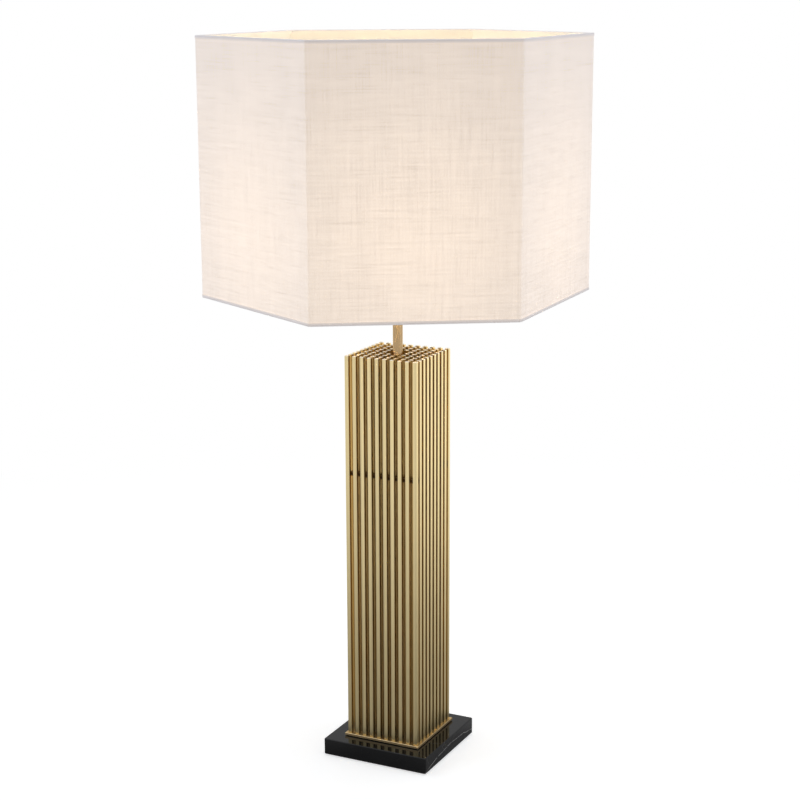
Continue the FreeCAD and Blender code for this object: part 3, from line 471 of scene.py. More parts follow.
def plated_finish(name, base, thread_pitch=0.0):
    """Plated steel, mottled by its spangle, with rolled threads where it has a pitch."""
    finish = Finish(name, metallic=1.0)
    spangle = finish.node("ShaderNodeTexVoronoi", values={"Vector": finish.place, "Scale": 420.0})
    scratch = finish.streaks((0.0004, 0.006, 0.0004))
    finish.paint(base, spangle * 0.10 + scratch * 0.16 + 0.85)
    finish.feed("Roughness", scratch * 0.18 + 0.26)
    if thread_pitch:
        x, y, z = finish.parts(finish.place)
        turn = finish.node("ShaderNodeMath", {"operation": "ARCTAN2"}, (y, x))
        finish.bump((z * (math.tau / thread_pitch) - turn).sine() * 0.5 + 0.5, 0.0003, 0.9)
    else:
        finish.bump(scratch, 0.00002, 0.5)
    return finish


def ceramic_finish():
    """Unglazed white ceramic with fine pits."""
    finish = Finish("white_ceramic", specular_ior_level=0.4)
    pits = finish.mottle(900, 3)
    cloud = finish.mottle(50, 3)
    finish.feed("Base Color", finish.blend(cloud * 0.5, (0.80, 0.77, 0.70), (0.72, 0.67, 0.58)))
    finish.feed("Roughness", pits * 0.2 + 0.45)
    finish.bump(pits, 0.00005, 0.6)
    return finish


def felt_finish():
    """Pressed black felt."""
    finish = Finish("black_felt", roughness=0.97, specular_ior_level=0.1, sheen_weight=0.3)
    hairs = finish.streaks((0.0012, 0.0005, 0.0005), 4, 1.5)
    crossed = finish.streaks((0.0005, 0.0012, 0.0005), 4, 1.5)
    finish.paint((0.020, 0.020, 0.021), hairs * 0.8 + crossed * 0.8 + 0.25)
    finish.bump(hairs * 0.5 + crossed * 0.5, 0.0003, 0.8)
    return finish


def glass_finish(name, tint, alpha):
    """Thin clear glass. Its rim and highlights show more than its middle."""
    finish = Finish(name, roughness=0.03, specular_ior_level=0.6)
    edge = finish.node("ShaderNodeLayerWeight", values={"Blend": 0.35}, output="Facing")
    streak = finish.mottle(60)
    finish.feed("Base Color", finish.blend(streak, tint, (0.96, 0.96, 0.95)))
    finish.feed("Alpha", edge ** 2 * 0.5 + streak * 0.04 + alpha)
    return finish


def lit_finish():
    """White-hot coil."""
    finish = Finish("glowing_filament", roughness=0.5, emission_strength=5.0)
    wire = finish.mottle(500, 1)
    finish.feed("Base Color", finish.blend(wire, (0.5, 0.4, 0.3), (0.6, 0.5, 0.4)))
    finish.feed("Emission Color", finish.blend(wire, (1.0, 0.62, 0.26), (1.0, 0.80, 0.50)))
    return finish


def dress(finish, *names):
    """Gives CAD nodes a finish."""
    for name in names:
        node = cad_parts[name]
        if not node.material_slots:
            node.data.materials.append(finish.material)
        for place in node.material_slots:
            place.material = finish.material


def set_mode(mode):
    """Goes to object or edit mode."""
    bpy.ops.object.mode_set(mode=mode)


def deselect():
    """Goes to object mode with nothing selected."""
    if bpy.context.mode != "OBJECT":
        set_mode("OBJECT")
    bpy.ops.object.select_all(action="DESELECT")


def only(*pieces):
    """Leaves these pieces selected in object mode, and nothing else."""
    deselect()
    for piece in pieces:
        piece.select_set(True)
    bpy.context.view_layer.objects.active = pieces[0]


def new_piece(name, kind, **settings):
    """Adds a primitive with nothing else selected."""
    deselect()
    getattr(bpy.ops.mesh, f"primitive_{kind}_add")(**settings)
    piece = bpy.context.object
    piece.name = piece.data.name = name
    return piece


def join(*pieces):
    """Joins pieces into the first one."""
    only(*pieces)
    bpy.ops.object.join()
    return bpy.context.object


def apply_place(piece):
    """Puts a piece's place, turn and scale into its mesh."""
    only(piece)
    bpy.ops.object.transform_apply(location=True, rotation=True, scale=True)


def edit():
    """Goes to edit mode with every vertex selected."""
    set_mode("EDIT")
    bpy.ops.mesh.select_mode(type="VERT")
    bpy.ops.mesh.select_all(action="SELECT")


def extrude(step):
    """Extrudes what is selected and moves it."""
    bpy.ops.mesh.extrude_region_move(TRANSFORM_OT_translate={"value": step})


def widen(share):
    """Scales what is selected about the lamp's axis."""
    bpy.ops.transform.resize(value=(share, share, 1), center_override=(0, 0, 0))


def draw_line(name, points):
    """A chain of edges: one vertex, extruded from point to point."""
    piece = new_piece(name, "circle", vertices=3, radius=0.001)
    edit()
    bpy.ops.mesh.merge(type="CENTER")
    bpy.ops.transform.translate(value=points[0])
    for before, after in zip(points, points[1:]):
        extrude(Vector(after) - Vector(before))
    return piece


def clean(piece):
    """Merges doubles and turns the faces outwards."""
    only(piece)
    edit()
    bpy.ops.mesh.remove_doubles(threshold=MERGE)
    bpy.ops.mesh.normals_make_consistent(inside=False)
    set_mode("OBJECT")


def turned(name, points, steps=64, closed=True):
    """A piece turned on a lathe from points of radius and height."""
    points = [(radius, 0, height) for radius, height in points]
    piece = draw_line(name, points + points[:1] if closed else points)
    edit()
    bpy.ops.mesh.remove_doubles(threshold=MERGE)
    bpy.ops.mesh.spin(steps=steps, angle=math.tau, center=(0, 0, 0), axis=(0, 0, 1))
    clean(piece)
    return piece


def pipe(name, node, bore, steps):
    """A plain ring or tube, with a CAD node's outside and height."""
    low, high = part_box(node)
    points = [(bore, low.z), (high.x, low.z), (high.x, high.z), (bore, high.z)]
    return turned(name, points, steps=steps)


def arc(centre, radius, first, last, steps=10):
    """Points of radius and height on an arc about the axis, between two angles in degrees."""
    turns = [math.radians(first + (last - first) * step / steps) for step in range(steps + 1)]
    return [(radius * math.cos(turn), centre + radius * math.sin(turn)) for turn in turns]


def modify(piece, kind, **settings):
    """Adds a modifier and applies it."""
    only(piece)
    modifier = piece.modifiers.new(kind.lower(), kind)
    for key, value in settings.items():
        setattr(modifier, key, value)
    bpy.ops.object.modifier_apply(modifier=modifier.name)


def soften(piece, width, segments=2):
    """Rounds the sharp edges."""
    sharp = {"limit_method": "ANGLE", "angle_limit": math.radians(35)}
    modify(piece, "BEVEL", width=width, segments=segments, **sharp)


def cut(piece, cutter):
    """Cuts one piece with another, which goes away."""
    modify(piece, "BOOLEAN", object=cutter, operation="DIFFERENCE", solver="EXACT")
    only(cutter)
    bpy.ops.object.delete()


def settle(piece, body, finish, node, smooth=35):
    """Ends a piece: its place goes into its mesh, it gets its finish and body, and the CAD node it
    stands for is hidden.
    """
    apply_place(piece)
    bpy.ops.object.shade_smooth_by_angle(angle=math.radians(smooth))
    piece.data.materials.clear()
    piece.data.materials.append(finish.material)
    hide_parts(node)
    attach(piece, body)


def swell(vertex, factor):
    """Moves a vertex away from the axis, or towards it."""
    vertex.co.x *= factor
    vertex.co.y *= factor


def roll_thread(piece, low, high, pitch, depth, between=(0.0, 1.0)):
    """Rolls a round thread into a turned wall between two heights and two radii. It fades out at
    both ends."""
    for vertex in piece.data.vertices:
        place = vertex.co
        radius = math.hypot(place.x, place.y)
        if not (low < place.z < high and between[0] < radius < between[1]):
            continue
        fade = min(1.0, (place.z - low) / pitch, (high - place.z) / pitch)
        wave = math.cos(math.tau * place.z / pitch - math.atan2(place.y, place.x))
        swell(vertex, 1 + (wave - 1) * 0.5 * depth * fade / radius)


def wall_rows(radius, low, high, step):
    """Points up a straight wall, a step apart."""
    count = max(1, round((high - low) / step))
    return [(radius, low + (high - low) * row / count) for row in range(count + 1)]


def bend_wire(name, points, thickness, bend, closed=False):
    """A round wire along points, with rounded bends."""
    piece = draw_line(name, points + points[:1] if closed else points)
    edit()
    bpy.ops.mesh.remove_doubles(threshold=MERGE)
    if not closed:
        set_mode("OBJECT")
        for vertex in piece.data.vertices:
            near = ((vertex.co - point).length < 2 * MERGE for point in points[1:-1])
            vertex.select = any(near)
        for line in piece.data.edges:
            line.select = False
        set_mode("EDIT")
    bpy.ops.mesh.bevel(affect="VERTICES", offset=bend, segments=6)
    only(piece)
    bpy.ops.object.convert(target="CURVE")
    wire = bpy.context.object
    wire.data.bevel_depth = thickness / 2
    wire.data.bevel_resolution = 4
    wire.data.use_fill_caps = not closed
    bpy.ops.object.convert(target="MESH")
    wire = bpy.context.object
    wire.name = wire.data.name = name
    clean(wire)
    return wire


def cloth_map(piece, side):
    """Maps a six-sided sleeve, in metres: along it round the lamp, and up it."""
    layer = piece.data.uv_layers.new(name="cloth")
    for face in piece.data.polygons:
        angle = math.atan2(face.center.y, face.center.x) - SHADE_TURN
        index = round(angle / (math.tau / SIDES))
        turn = index * math.tau / SIDES + SHADE_TURN
        along = Vector((-math.sin(turn), math.cos(turn), 0))
        out = Vector((along.y, -along.x, 0))
        for corner in face.loop_indices:
            place = piece.data.vertices[piece.data.loops[corner].vertex_index].co
            up = place.z - place.dot(out)
            layer.data[corner].uv = (index * side + place.dot(along), up)


def sleeve(name, apothem, low, fold, columns):
    """The bottom edge of a six-sided sleeve, with soft corners and each side divided."""
    radius = apothem / math.cos(math.pi / SIDES)
    where = {"location": (0, 0, low), "rotation": (0, 0, SHADE_TURN)}
    piece = new_piece(name, "circle", vertices=SIDES, radius=radius, **where)
    edit()
    bpy.ops.mesh.bevel(affect="VERTICES", offset=fold, segments=4)
    bpy.ops.mesh.select_mode(type="EDGE")
    set_mode("OBJECT")
    corners = [vertex.co for vertex in piece.data.vertices]
    for line in piece.data.edges:
        first, last = (corners[index] for index in line.vertices)
        line.select = (first - last).length > apothem / 2
    set_mode("EDIT")
    bpy.ops.mesh.subdivide(number_cuts=columns - 1)
    bpy.ops.mesh.select_all(action="SELECT")
    return piece


def make_felt():
    low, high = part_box("base_felt")
    middle, trim, ripple = (low.z + high.z) / 2, 0.0004, 0.00012
    squares = {"x_subdivisions": 64, "y_subdivisions": 64}
    felt = new_piece("felt_pad", "grid", size=1, location=(0, 0, middle), **squares)
    felt.scale = (high.x - low.x - trim, high.y - low.y - trim, 1)
    apply_place(felt)
    modify(felt, "SOLIDIFY", thickness=high.z - low.z - 0.0001, offset=0)
    soften(felt, 0.0004, 3)
    for vertex in felt.data.vertices:
        if vertex.co.z < middle:
            vertex.co.z += ripple * abs(noise.noise(vertex.co * 90))
    settle(felt, "stand", felt_finish(), "base_felt")


def make_bush():
    low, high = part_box("cable_bush")
    bore, body, flange = 0.0032, 0.0045, (high.x - low.x) / 2
    end, face, round_off = high.y, high.y - 0.002, 0.0006
    points = [(bore, low.y), (body, low.y), (body, face), (flange, face)]
    points += [(flange, end - round_off), (flange - round_off, end), (0.0046, end)]
    points += [(0.0040, end - round_off), (bore, end - 0.0012)]
    bush = turned("inlet_bush", points, steps=48)
    soften(bush, 0.0002)
    bush.rotation_euler = (-math.pi / 2, 0, 0)
    bush.location = (0, 0, (low.z + high.z) / 2)
    rubber = moulded_finish("black_rubber", (0.014, 0.014, 0.014), rough=0.62)
    settle(bush, "stand", rubber, "cable_bush")


class LAMP_OT_base(bpy.types.Operator):
    """Finishes the stone base, its gasket and brass plate, and makes its felt and bush"""
    bl_idname = "lamp.base"
    bl_label = "Base"

    def execute(self, context):
        dress(stone_finish(), "stone_base")
        along = (0.03, 0.0004, 0.0004)
        plate = brass_finish("plate_brass", colours().plate, grain=along, rough=0.42)
        dress(plate, "bottom_plate")
        dress(moulded_finish("gasket_sheet", (0.010, 0.009, 0.008), rough=0.6), "plate_gasket")
        make_felt()
        make_bush()
        return {"FINISHED"}


class LAMP_OT_column(bpy.types.Operator):
    """Finishes the brass rods and the strips soldered between them"""
    bl_idname = "lamp.column"
    bl_label = "Column"

    def execute(self, context):
        dress(brass_finish("rod_brass", colours().rods, rods=True), *ROD_ROWS)
        low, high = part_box("spacer_strips")
        dress(solder_and_shade_finish((low.z + high.z) / 2), "spacer_strips")
        return {"FINISHED"}


class LAMP_OT_tube(bpy.types.Operator):
    """Makes the centre tube and finishes the pipe, nuts and washers"""
    bl_idname = "lamp.tube"
    bl_label = "Centre tube"

    def execute(self, context):
        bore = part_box("centre_tube")[1].x - 0.0008
        tube = pipe("brass_tube", "centre_tube", bore, 72)
        soften(tube, 0.0002)
        tube_brass = brass_finish("tube_brass", colours().tube, rough=0.22)
        settle(tube, "stand", tube_brass, "centre_tube")
        zinc = plated_finish("zinc_plate", colours().zinc)
        dress(zinc, "base_washer", "base_nut", "column_washer", "holder_washer", "switch_spindle")
        dress(plated_finish("threaded_zinc", colours().zinc, thread_pitch=0.001), "threaded_pipe")
        nut_brass = brass_finish("nut_brass", colours().tube, grain=(0.0006,) * 3, rough=0.28)
        dress(nut_brass, "column_nut")
        return {"FINISHED"}


def make_cap(black):
    low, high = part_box("holder_cap")
    outer, wall, collar, bore = high.x, 0.0015, 0.008, 0.00505
    foot, ledge, rim = low.z + 0.006, low.z + 0.014, high.z
    inner = outer - wall
    points = [(bore, low.z), (collar, low.z), (collar, low.z + 0.0045)]
    points += [(outer - 0.0040, ledge - 0.0034), (outer - 0.0012, ledge - 0.0016)]
    points += [(outer, ledge + 0.0008), (outer, rim), (inner, rim), (inner, ledge)]
    points += [(inner - wall, ledge), (collar, foot), (bore, foot)]
    cap = turned("holder_shoulder", points, steps=80)
    hole = new_piece("spindle_hole", "cylinder", vertices=32, radius=0.0022, depth=0.008)
    hole.rotation_euler = (0, math.pi / 2, 0)
    hole.location = (outer, 0, (ledge + rim) / 2)
    cut(cap, hole)
    soften(cap, 0.0003)
    settle(cap, "stand", black, "holder_cap")


def make_sleeve(black):
    low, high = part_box("holder_sleeve")
    outer, bore, shoulder = 0.0195, 0.015, high.x
    step, pitch = low.z + 0.017, sizes().sleeve_thread
    first, last, top = step + 0.0034, high.z - 0.0018, step + 0.003
    points = [(bore, low.z), (outer, low.z), (outer, step), (shoulder, step)]
    points += [(shoulder, top), (outer, top)] + wall_rows(outer, first, last, pitch / 8)
    points += [(outer - 0.0012, high.z), (bore, high.z)]
    holder = turned("holder_sleeve_threaded", points, steps=80)
    roll_thread(holder, first, last, pitch, 0.0009, between=(0.018, 0.0205))
    settle(holder, "stand", black, "holder_sleeve")


def make_shell():
    low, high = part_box("screw_shell")
    outer, inner, pitch = high.x, high.x - 0.0004, sizes().bulb_thread
    points = wall_rows(outer, low.z, high.z, pitch / 8)
    points += wall_rows(inner, low.z, high.z, pitch / 8)[::-1]
    shell = turned("bulb_socket_shell", points, steps=72)
    roll_thread(shell, low.z, high.z, pitch, 0.00018)
    shell_brass = brass_finish("shell_brass", YELLOW_BRASS, grain=FINE_GRAIN, rough=0.24)
    settle(shell, "stand", shell_brass, "screw_shell")


class LAMP_OT_holder(bpy.types.Operator):
    """Makes the lampholder's cap, sleeve and screw shell, and finishes what is inside"""
    bl_idname = "lamp.holder"
    bl_label = "Lampholder"

    def execute(self, context):
        black = moulded_finish("black_thermoset", colours().holder)
        make_cap(black)
        make_sleeve(black)
        make_shell()
        dress(ceramic_finish(), "holder_insert")
        contact = brass_finish("contact_brass", YELLOW_BRASS, grain=FINE_GRAIN, rough=0.26)
        dress(contact, "contact_tongue", "terminal_screws")
        return {"FINISHED"}


class LAMP_OT_switch(bpy.types.Operator):
    """Makes the fluted knob of the switch"""
    bl_idname = "lamp.switch"
    bl_label = "Switch"

    def execute(self, context):
        low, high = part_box("switch_knob")
        reach, radius, hole, depth = high.x - low.x, 0.00585, 0.0019, 0.11
        points = [(hole, 0), (radius - 0.0012, 0), (radius - 0.0003, 0.0004), (radius, 0.0012)]
        points += [(radius, reach * share) for share in (0.3, 0.5, 0.7)]
        points += [(radius, reach - 0.0016), (radius - 0.0004, reach - 0.0006)]
        points += [(radius - 0.0013, reach), (0, reach), (0, reach * 0.62), (hole, reach * 0.62)]
        knob = turned("fluted_knob", points, steps=144)
        for vertex in knob.data.vertices:
            if math.hypot(vertex.co.x, vertex.co.y) > radius - 0.0014:
                turn = math.atan2(vertex.co.y, vertex.co.x)
                groove = max(0.0, math.cos(sizes().flutes * turn)) ** 3
                swell(vertex, 1 - depth * groove)
        knob.rotation_euler = (0, math.pi / 2, 0)
        knob.location = (low.x, 0, (low.z + high.z) / 2)
        finish = moulded_finish("black_gloss", (0.018, 0.018, 0.018), rough=0.22, grain=700)
        settle(knob, "switch", finish, "switch_knob", smooth=50)
        return {"FINISHED"}


def make_fitter(coat):
    fitter = pipe("fitter_washer", "fitter_ring", 0.0201, 96)
    soften(fitter, 0.0005, 3)
    settle(fitter, "shade", coat, "fitter_ring")


def make_ring():
    low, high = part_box("retaining_ring")
    outer, collar, bore = high.x, 0.023, 0.0199
    shelf, pitch = low.z + 0.0035, sizes().sleeve_thread
    points = wall_rows(bore, low.z, high.z, pitch / 8)[::-1]
    points += [(outer, low.z), (outer, shelf), (collar, shelf), (collar, high.z)]
    ring = turned("threaded_ring", points, steps=96)
    roll_thread(ring, low.z, high.z, pitch, -0.0005, between=(0.0190, 0.0205))
    notches = []
    for index in range(sizes().notches):
        turn = math.tau * index / sizes().notches
        notch = new_piece("notch", "cylinder", vertices=24, radius=0.002, depth=0.02)
        notch.location = (outer * math.cos(turn), outer * math.sin(turn), shelf - 0.0099)
        notches.append(notch)
    cut(ring, join(*notches))
    soften(ring, 0.0003)
    clean(ring)
    finish = moulded_finish("black_ring", colours().holder, rough=0.34)
    settle(ring, "shade_ring", finish, "retaining_ring")


def make_spoke(name, index, coat):
    low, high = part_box(name)
    turn = SHADE_TURN - math.pi / 2 + index * math.tau / 3
    out = Vector((math.cos(turn), math.sin(turn), 0))
    thick = 0.003
    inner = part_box("fitter_ring")[1].x + 0.0003
    corner = sizes().frame_reach / math.cos(math.pi / SIDES)
    top, rest, foot = high.z - thick / 2, low.z + thick / 2, 0.014
    places = [(inner, top), (inner + foot, top), (corner - foot, rest), (corner, rest)]
    points = [out * reach + Vector((0, 0, height)) for reach, height in places]
    spoke = bend_wire(f"{name}_wire", points, thick, 0.0035)
    welds = []
    joints = (points[0] - out * 0.0002, 0.0021), (points[-1] - Vector((0, 0, 0.0010)), 0.0022)
    for place, wide in joints:
        ball = {"segments": 20, "ring_count": 12, "radius": wide}
        weld = new_piece("weld", "uv_sphere", location=place, **ball)
        weld.scale = (1, 1, 0.66)
        welds.append(weld)
    join(spoke, *welds)
    settle(spoke, "shade", coat, name, smooth=60)


def make_frame(name, coat):
    low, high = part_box(name)
    thick, middle = high.z - low.z, (low.z + high.z) / 2
    radius = sizes().frame_reach / math.cos(math.pi / SIDES)
    points = []
    for index in range(SIDES):
        turn = SHADE_TURN + math.pi / SIDES + index * math.tau / SIDES
        points.append(Vector((radius * math.cos(turn), radius * math.sin(turn), middle)))
    wire = bend_wire(f"{name}_wire", points, thick, sizes().frame_bend, closed=True)
    settle(wire, "shade", coat, name, smooth=60)


class LAMP_OT_carrier(bpy.types.Operator):
    """Makes the fitter ring, retaining ring, spokes and wire frames"""
    bl_idname = "lamp.carrier"
    bl_label = "Shade carrier"

    def execute(self, context):
        coat = coat_finish()
        make_fitter(coat)
        make_ring()
        for index, name in enumerate(SPOKES):
            make_spoke(name, index, coat)
        for name in ("lower_frame", "upper_frame"):
            make_frame(name, coat)
        return {"FINISHED"}


class LAMP_OT_shade(bpy.types.Operator):
    """Makes the linen cover and finishes the lining panels"""
    bl_idname = "lamp.shade"
    bl_label = "Shade"

    def execute(self, context):
        dress(lining_finish(), *PANELS)
        low, high = SHADE_LOW + 0.0004, SHADE_HIGH - 0.0004
        apothem, rows = sizes().linen_reach, 26
        cover = sleeve("linen", apothem, low, sizes().linen_fold, 18)
        for _ in range(rows):
            extrude((0, 0, (high - low) / rows))
        clean(cover)
        apply_place(cover)
        for vertex in cover.data.vertices:
            place = vertex.co
            pull = noise.noise(place * 14) * 0.00011 + noise.noise(place * 55) * 0.00005
            out = Vector((place.x, place.y, 0)).normalized()
            vertex.co += out * (pull - 0.00010)
        side = 2 * apothem * math.tan(math.pi / SIDES)
        cloth_map(cover, side)
        modify(cover, "SOLIDIFY", thickness=sizes().linen_thickness - 0.0001, offset=-1)
        settle(cover, "shade", linen_finish(), "linen_cover", smooth=40)
        return {"FINISHED"}


def make_tape(name, node, rim, way):
    outer, inner = TAPE_OUTSIDE, TAPE_INSIDE
    edge, fold = rim + way * sizes().tape_height, way * 0.0007
    tape = sleeve(name, outer - 0.00004, edge, 0.0019, 14)
    extrude((0, 0, (rim - edge) + fold))
    for in_step, up_step in ((0.00025, 0.6), (0.0008, 0.4)):
        extrude((0, 0, -fold * up_step))
        widen(1 - in_step / outer)
    extrude((0, 0, 0))
    widen((inner + 0.0006) / (outer - 0.0010))
    extrude((0, 0, fold * 0.5))
    widen(inner / (inner + 0.0006))
    extrude((0, 0, (edge - rim) - fold * 0.5))
    clean(tape)
    apply_place(tape)
    for vertex in tape.data.vertices:
        if abs(vertex.co.z - edge) < 0.0002:
            vertex.co.z += 0.00014 * noise.noise(vertex.co * 45)
    side = 2 * outer * math.tan(math.pi / SIDES)
    cloth_map(tape, side)
    modify(tape, "SOLIDIFY", thickness=sizes().tape_thickness - 0.00004, offset=-1)
    settle(tape, "shade", tape_finish(rim), node, smooth=40)


class LAMP_OT_tapes(bpy.types.Operator):
    """Makes the tapes folded over the shade's rims"""
    bl_idname = "lamp.tapes"
    bl_label = "Rim tapes"

    def execute(self, context):
        make_tape("lower_tape", "lower_rim_tape", SHADE_LOW, 1)
        make_tape("upper_tape", "upper_rim_tape", SHADE_HIGH, -1)
        return {"FINISHED"}


def make_glass():
    low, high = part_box("bulb_glass")
    radius, neck, wall = high.x, 0.0127, 0.0008
    shoulder, flare, dome = low.z + 0.008, low.z + 0.017, high.z - radius
    outside = [(neck, low.z), (neck, shoulder), (neck + 0.0012, shoulder + 0.0016)]
    outside += [(radius - 0.0012, flare - 0.0014), (radius, flare + 0.0012)]
    outside += wall_rows(radius, flare + 0.006, dome - 0.004, 0.012)
    inside = [(reach - wall, height) for reach, height in outside]
    crown = arc(dome, radius, 0, 90, 14) + arc(dome, radius - wall, 90, 0, 14)
    glass = turned("bulb_envelope", outside + crown + inside[::-1], steps=72)
    clear = glass_finish("clear_glass", (1.0, 0.97, 0.90), 0.10)
    settle(glass, "bulb", clear, "bulb_glass", smooth=60)


def make_bulb_cap():
    low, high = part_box("bulb_cap")
    foot, base, rim = 0.012, low.z, high.z
    outer, wall, pitch = high.x, 0.0003, sizes().bulb_thread
    side, row = outer - 0.0001, pitch / 8
    points = [(0, base), (foot, base)] + wall_rows(side, base + 0.0014, rim - 0.0012, row)
    points += [(outer, rim - 0.0006), (outer, rim), (outer - wall, rim)]
    points += [(outer - wall - 0.0004, rim - 0.0008)]
    points += wall_rows(side - wall, base + 0.0016, rim - 0.0014, row)[::-1]
    points += [(foot - wall, base + wall), (0, base + wall)]
    cap = turned("bulb_screw_cap", points, steps=72)
    roll_thread(cap, base + 0.0014, rim - 0.0010, pitch, 0.0011, between=(0.0124, 0.0140))
    metal = plated_finish("cap_metal", (0.78, 0.78, 0.77))
    settle(cap, "bulb", metal, "bulb_cap", smooth=50)


def make_stem():
    low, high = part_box("bulb_stem")
    foot, base, top = high.x, low.z, high.z
    points = [(0, base), (foot, base), (foot, base + 0.001), (foot - 0.003, base + 0.0016)]
    points += [(0.0046, base + 0.0042), (0.0035, base + 0.0075), (0.0034, top - 0.006)]
    points += [(0.0029, top - 0.003), (0.0033, top - 0.0008), (0.0024, top), (0, top)]
    stem = turned("glass_stem", points, steps=40, closed=False)
    green = glass_finish("stem_glass", (0.90, 0.95, 0.93), 0.22)
    settle(stem, "bulb", green, "bulb_stem", smooth=60)


def make_coil():
    reach, foot = 0.009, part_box("bulb_filament")[0].z + 0.0006
    start, end = Vector((-reach, 0, foot)), Vector((reach, 0, foot))
    crown = Vector((0, 0, foot + 0.008))
    pitch = sizes().coil_turn
    runs = []
    for first, last in ((start, crown), (crown, end)):
        run = last - first
        where = {"location": (0.0005, 0, 0), "rotation": (math.pi / 2, 0, 0)}
        coil = new_piece("coil", "circle", vertices=6, radius=0.00009, **where)
        apply_place(coil)
        turns = {"iterations": int(run.length / pitch), "steps": 10, "render_steps": 10}
        modify(coil, "SCREW", angle=math.tau, screw_offset=pitch, **turns)
        coil.rotation_mode = "QUATERNION"
        coil.rotation_quaternion = run.to_track_quat("Z", "Y")
        coil.location = first
        runs.append(coil)
    coil = join(*runs)
    coil.name = coil.data.name = "filament_coil"
    coil.rotation_mode = "XYZ"
    edit()
    bpy.ops.mesh.select_all(action="DESELECT")
    bpy.ops.mesh.select_non_manifold()
    bpy.ops.mesh.fill()
    clean(coil)
    settle(coil, "bulb", lit_finish(), "bulb_filament", smooth=60)


class LAMP_OT_bulb(bpy.types.Operator):
    """Makes the bulb's glass, cap, stem and coil"""
    bl_idname = "lamp.bulb"
    bl_label = "Bulb"

    def execute(self, context):
        make_glass()
        make_bulb_cap()
        make_stem()
        make_coil()
        button = brass_finish("button_metal", (0.60, 0.58, 0.54), grain=FINE_GRAIN, rough=0.3)
        dress(button, "bulb_contact")
        insulator = moulded_finish("black_glass", (0.01, 0.01, 0.012), rough=0.16, grain=300)
        dress(insulator, "bulb_insulator")
        dress(plated_finish("nickel_wire", (0.55, 0.52, 0.48)), "bulb_leads")
        return {"FINISHED"}


def make_floor():
    floor = new_piece("floor", "circle", vertices=96, radius=6.0, fill_type="NGON")
    matt = {"roughness": 0.9, "specular_ior_level": 0.0}
    finish = Finish("pale_floor", emission_strength=1.0, **matt)
    seen, mirrored = finish.ray("Camera"), finish.ray("Glossy")
    x, y, _ = finish.parts(finish.place)
    away = finish.length(finish.place)
    grain = finish.mottle(60, 3) * 0.02 + 0.99
    open_floor = away.step(0.45, 1.5) * seen
    lit = (1.0 - mirrored) * (1.0 - open_floor) * (1.0 - seen * 0.3)
    finish.paint((0.88, 0.88, 0.88), lit * grain)
    behind = (x * 0.45 + y * 0.89) / (away + 0.05)
    front = (x * 0.432 - y * 0.873) / (away + 0.05)
    glare = away.step(0.05, 1.8, 0.40, 1.51) * away.step(0.09, 0.15, 0.5, 1.0)
    glare = glare * (behind * 0.094 + 1.0)
    glare = glare * front.step(0.70, 0.97, 1.0, 0.45) * mirrored
    finish.glow(WHITE, glare + seen * 0.63 + open_floor * 0.37)
    floor.data.materials.append(finish.material)


def make_world(scene):
    world = bpy.data.worlds.new("studio")
    scene.world = world
    world.use_nodes = True
    nodes = NodeMaker(world.node_tree)
    up = nodes.parts(nodes.node("ShaderNodeTexCoord", output="Generated"))[2]
    room = up.step(0.28, 0.42, 0.66, 0.50) + up.step(0.5, 0.9, 0.0, 0.6)
    level = nodes.blend(nodes.ray("Glossy"), (0.42, 0.415, 0.41), nodes.shade(WHITE, room))
    back = world.node_tree.nodes["Background"]
    nodes.link(back.inputs["Color"], nodes.blend(nodes.ray("Camera"), level, WHITE))


def add_light(kind, name, place, energy, tint):
    bpy.ops.object.light_add(type=kind, location=place)
    light = bpy.context.object
    light.name = name
    light.data.energy = energy
    light.data.color = tint
    light.visible_camera = False
    return light


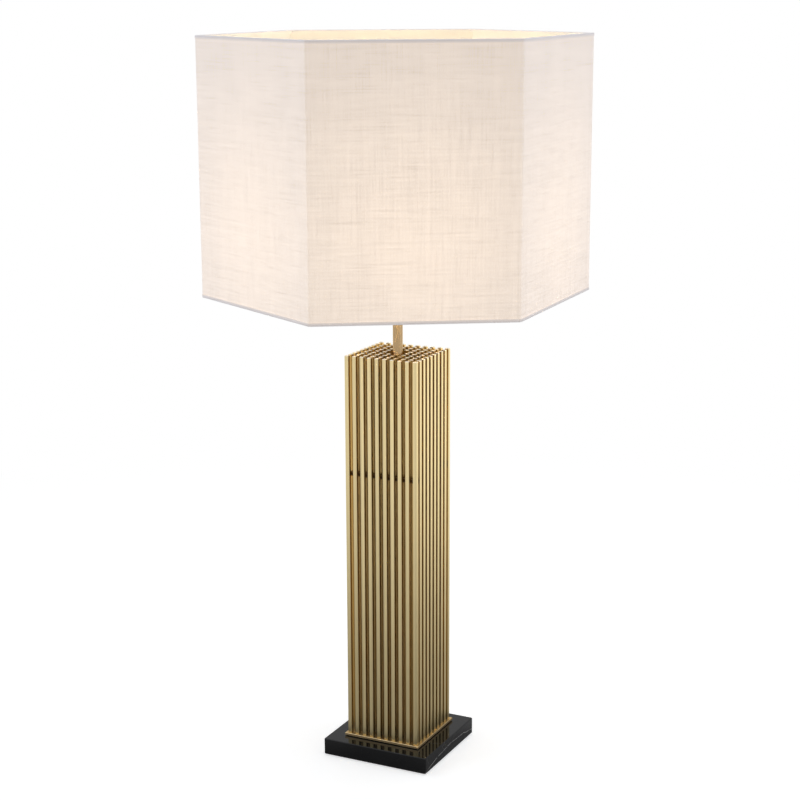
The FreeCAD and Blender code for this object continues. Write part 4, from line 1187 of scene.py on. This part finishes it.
def make_camera(scene):
    bpy.ops.object.camera_add(location=CAMERA_PLACE)
    camera = bpy.context.object
    camera.name = "camera"
    camera.rotation_euler = CAMERA_AIM.to_track_quat("-Z", "Y").to_euler()
    camera.rotation_euler.rotate_axis("Z", CAMERA_ROLL)
    camera.data.sensor_width = SENSOR
    camera.data.lens = FOCAL_PIXELS * SENSOR / PICTURE_PIXELS
    camera.data.clip_end = 100
    scene.camera = camera
    scene.view_settings.view_transform = "Standard"


class LAMP_OT_stage(bpy.types.Operator):
    """Makes the floor, the studio light, the bulb's light and the camera"""
    bl_idname = "lamp.stage"
    bl_label = "Stage"

    def execute(self, context):
        make_floor()
        make_world(context.scene)
        for name, place, size, energy, tint in SOFTBOXES:
            softbox = add_light("AREA", name, place, energy, tint)
            softbox.data.size = size
            aim = (LIGHTS_AIM - Vector(place)).to_track_quat("-Z", "Y")
            softbox.rotation_euler = aim.to_euler()
        bulb = add_light("POINT", "bulb_light", BULB_CENTRE, 0.85, (1.0, 0.78, 0.53))
        bulb.data.shadow_soft_size = 0.030
        make_camera(context.scene)
        return {"FINISHED"}


class LAMP_PT_panel(bpy.types.Panel):
    """Lists the sizes, the colours and the pieces"""
    bl_idname = "LAMP_PT_panel"
    bl_label = "Column table lamp"
    bl_space_type = "VIEW_3D"
    bl_region_type = "UI"
    bl_category = "Lamp"

    def draw(self, context):
        for group in (context.scene.lamp_sizes, context.scene.lamp_colours):
            box = self.layout.box()
            for name in group.__annotations__:
                box.prop(group, name)
        for operator in OPERATORS:
            self.layout.operator(operator.bl_idname)


OPERATORS = (
    LAMP_OT_base, LAMP_OT_column, LAMP_OT_tube, LAMP_OT_holder, LAMP_OT_switch,
    LAMP_OT_carrier, LAMP_OT_shade, LAMP_OT_tapes, LAMP_OT_bulb, LAMP_OT_stage,
)
CLASSES = (LampSizes, LampColours, *OPERATORS, LAMP_PT_panel)


def register():
    for item in CLASSES:
        bpy.utils.register_class(item)
    bpy.types.Scene.lamp_sizes = PointerProperty(type=LampSizes)
    bpy.types.Scene.lamp_colours = PointerProperty(type=LampColours)


def unregister():
    del bpy.types.Scene.lamp_colours
    del bpy.types.Scene.lamp_sizes
    for item in reversed(CLASSES):
        bpy.utils.unregister_class(item)


def main():
    register()
    for operator in OPERATORS:
        group, name = operator.bl_idname.split(".")
        getattr(getattr(bpy.ops, group), name)()


if __name__ == "__main__":
    main()
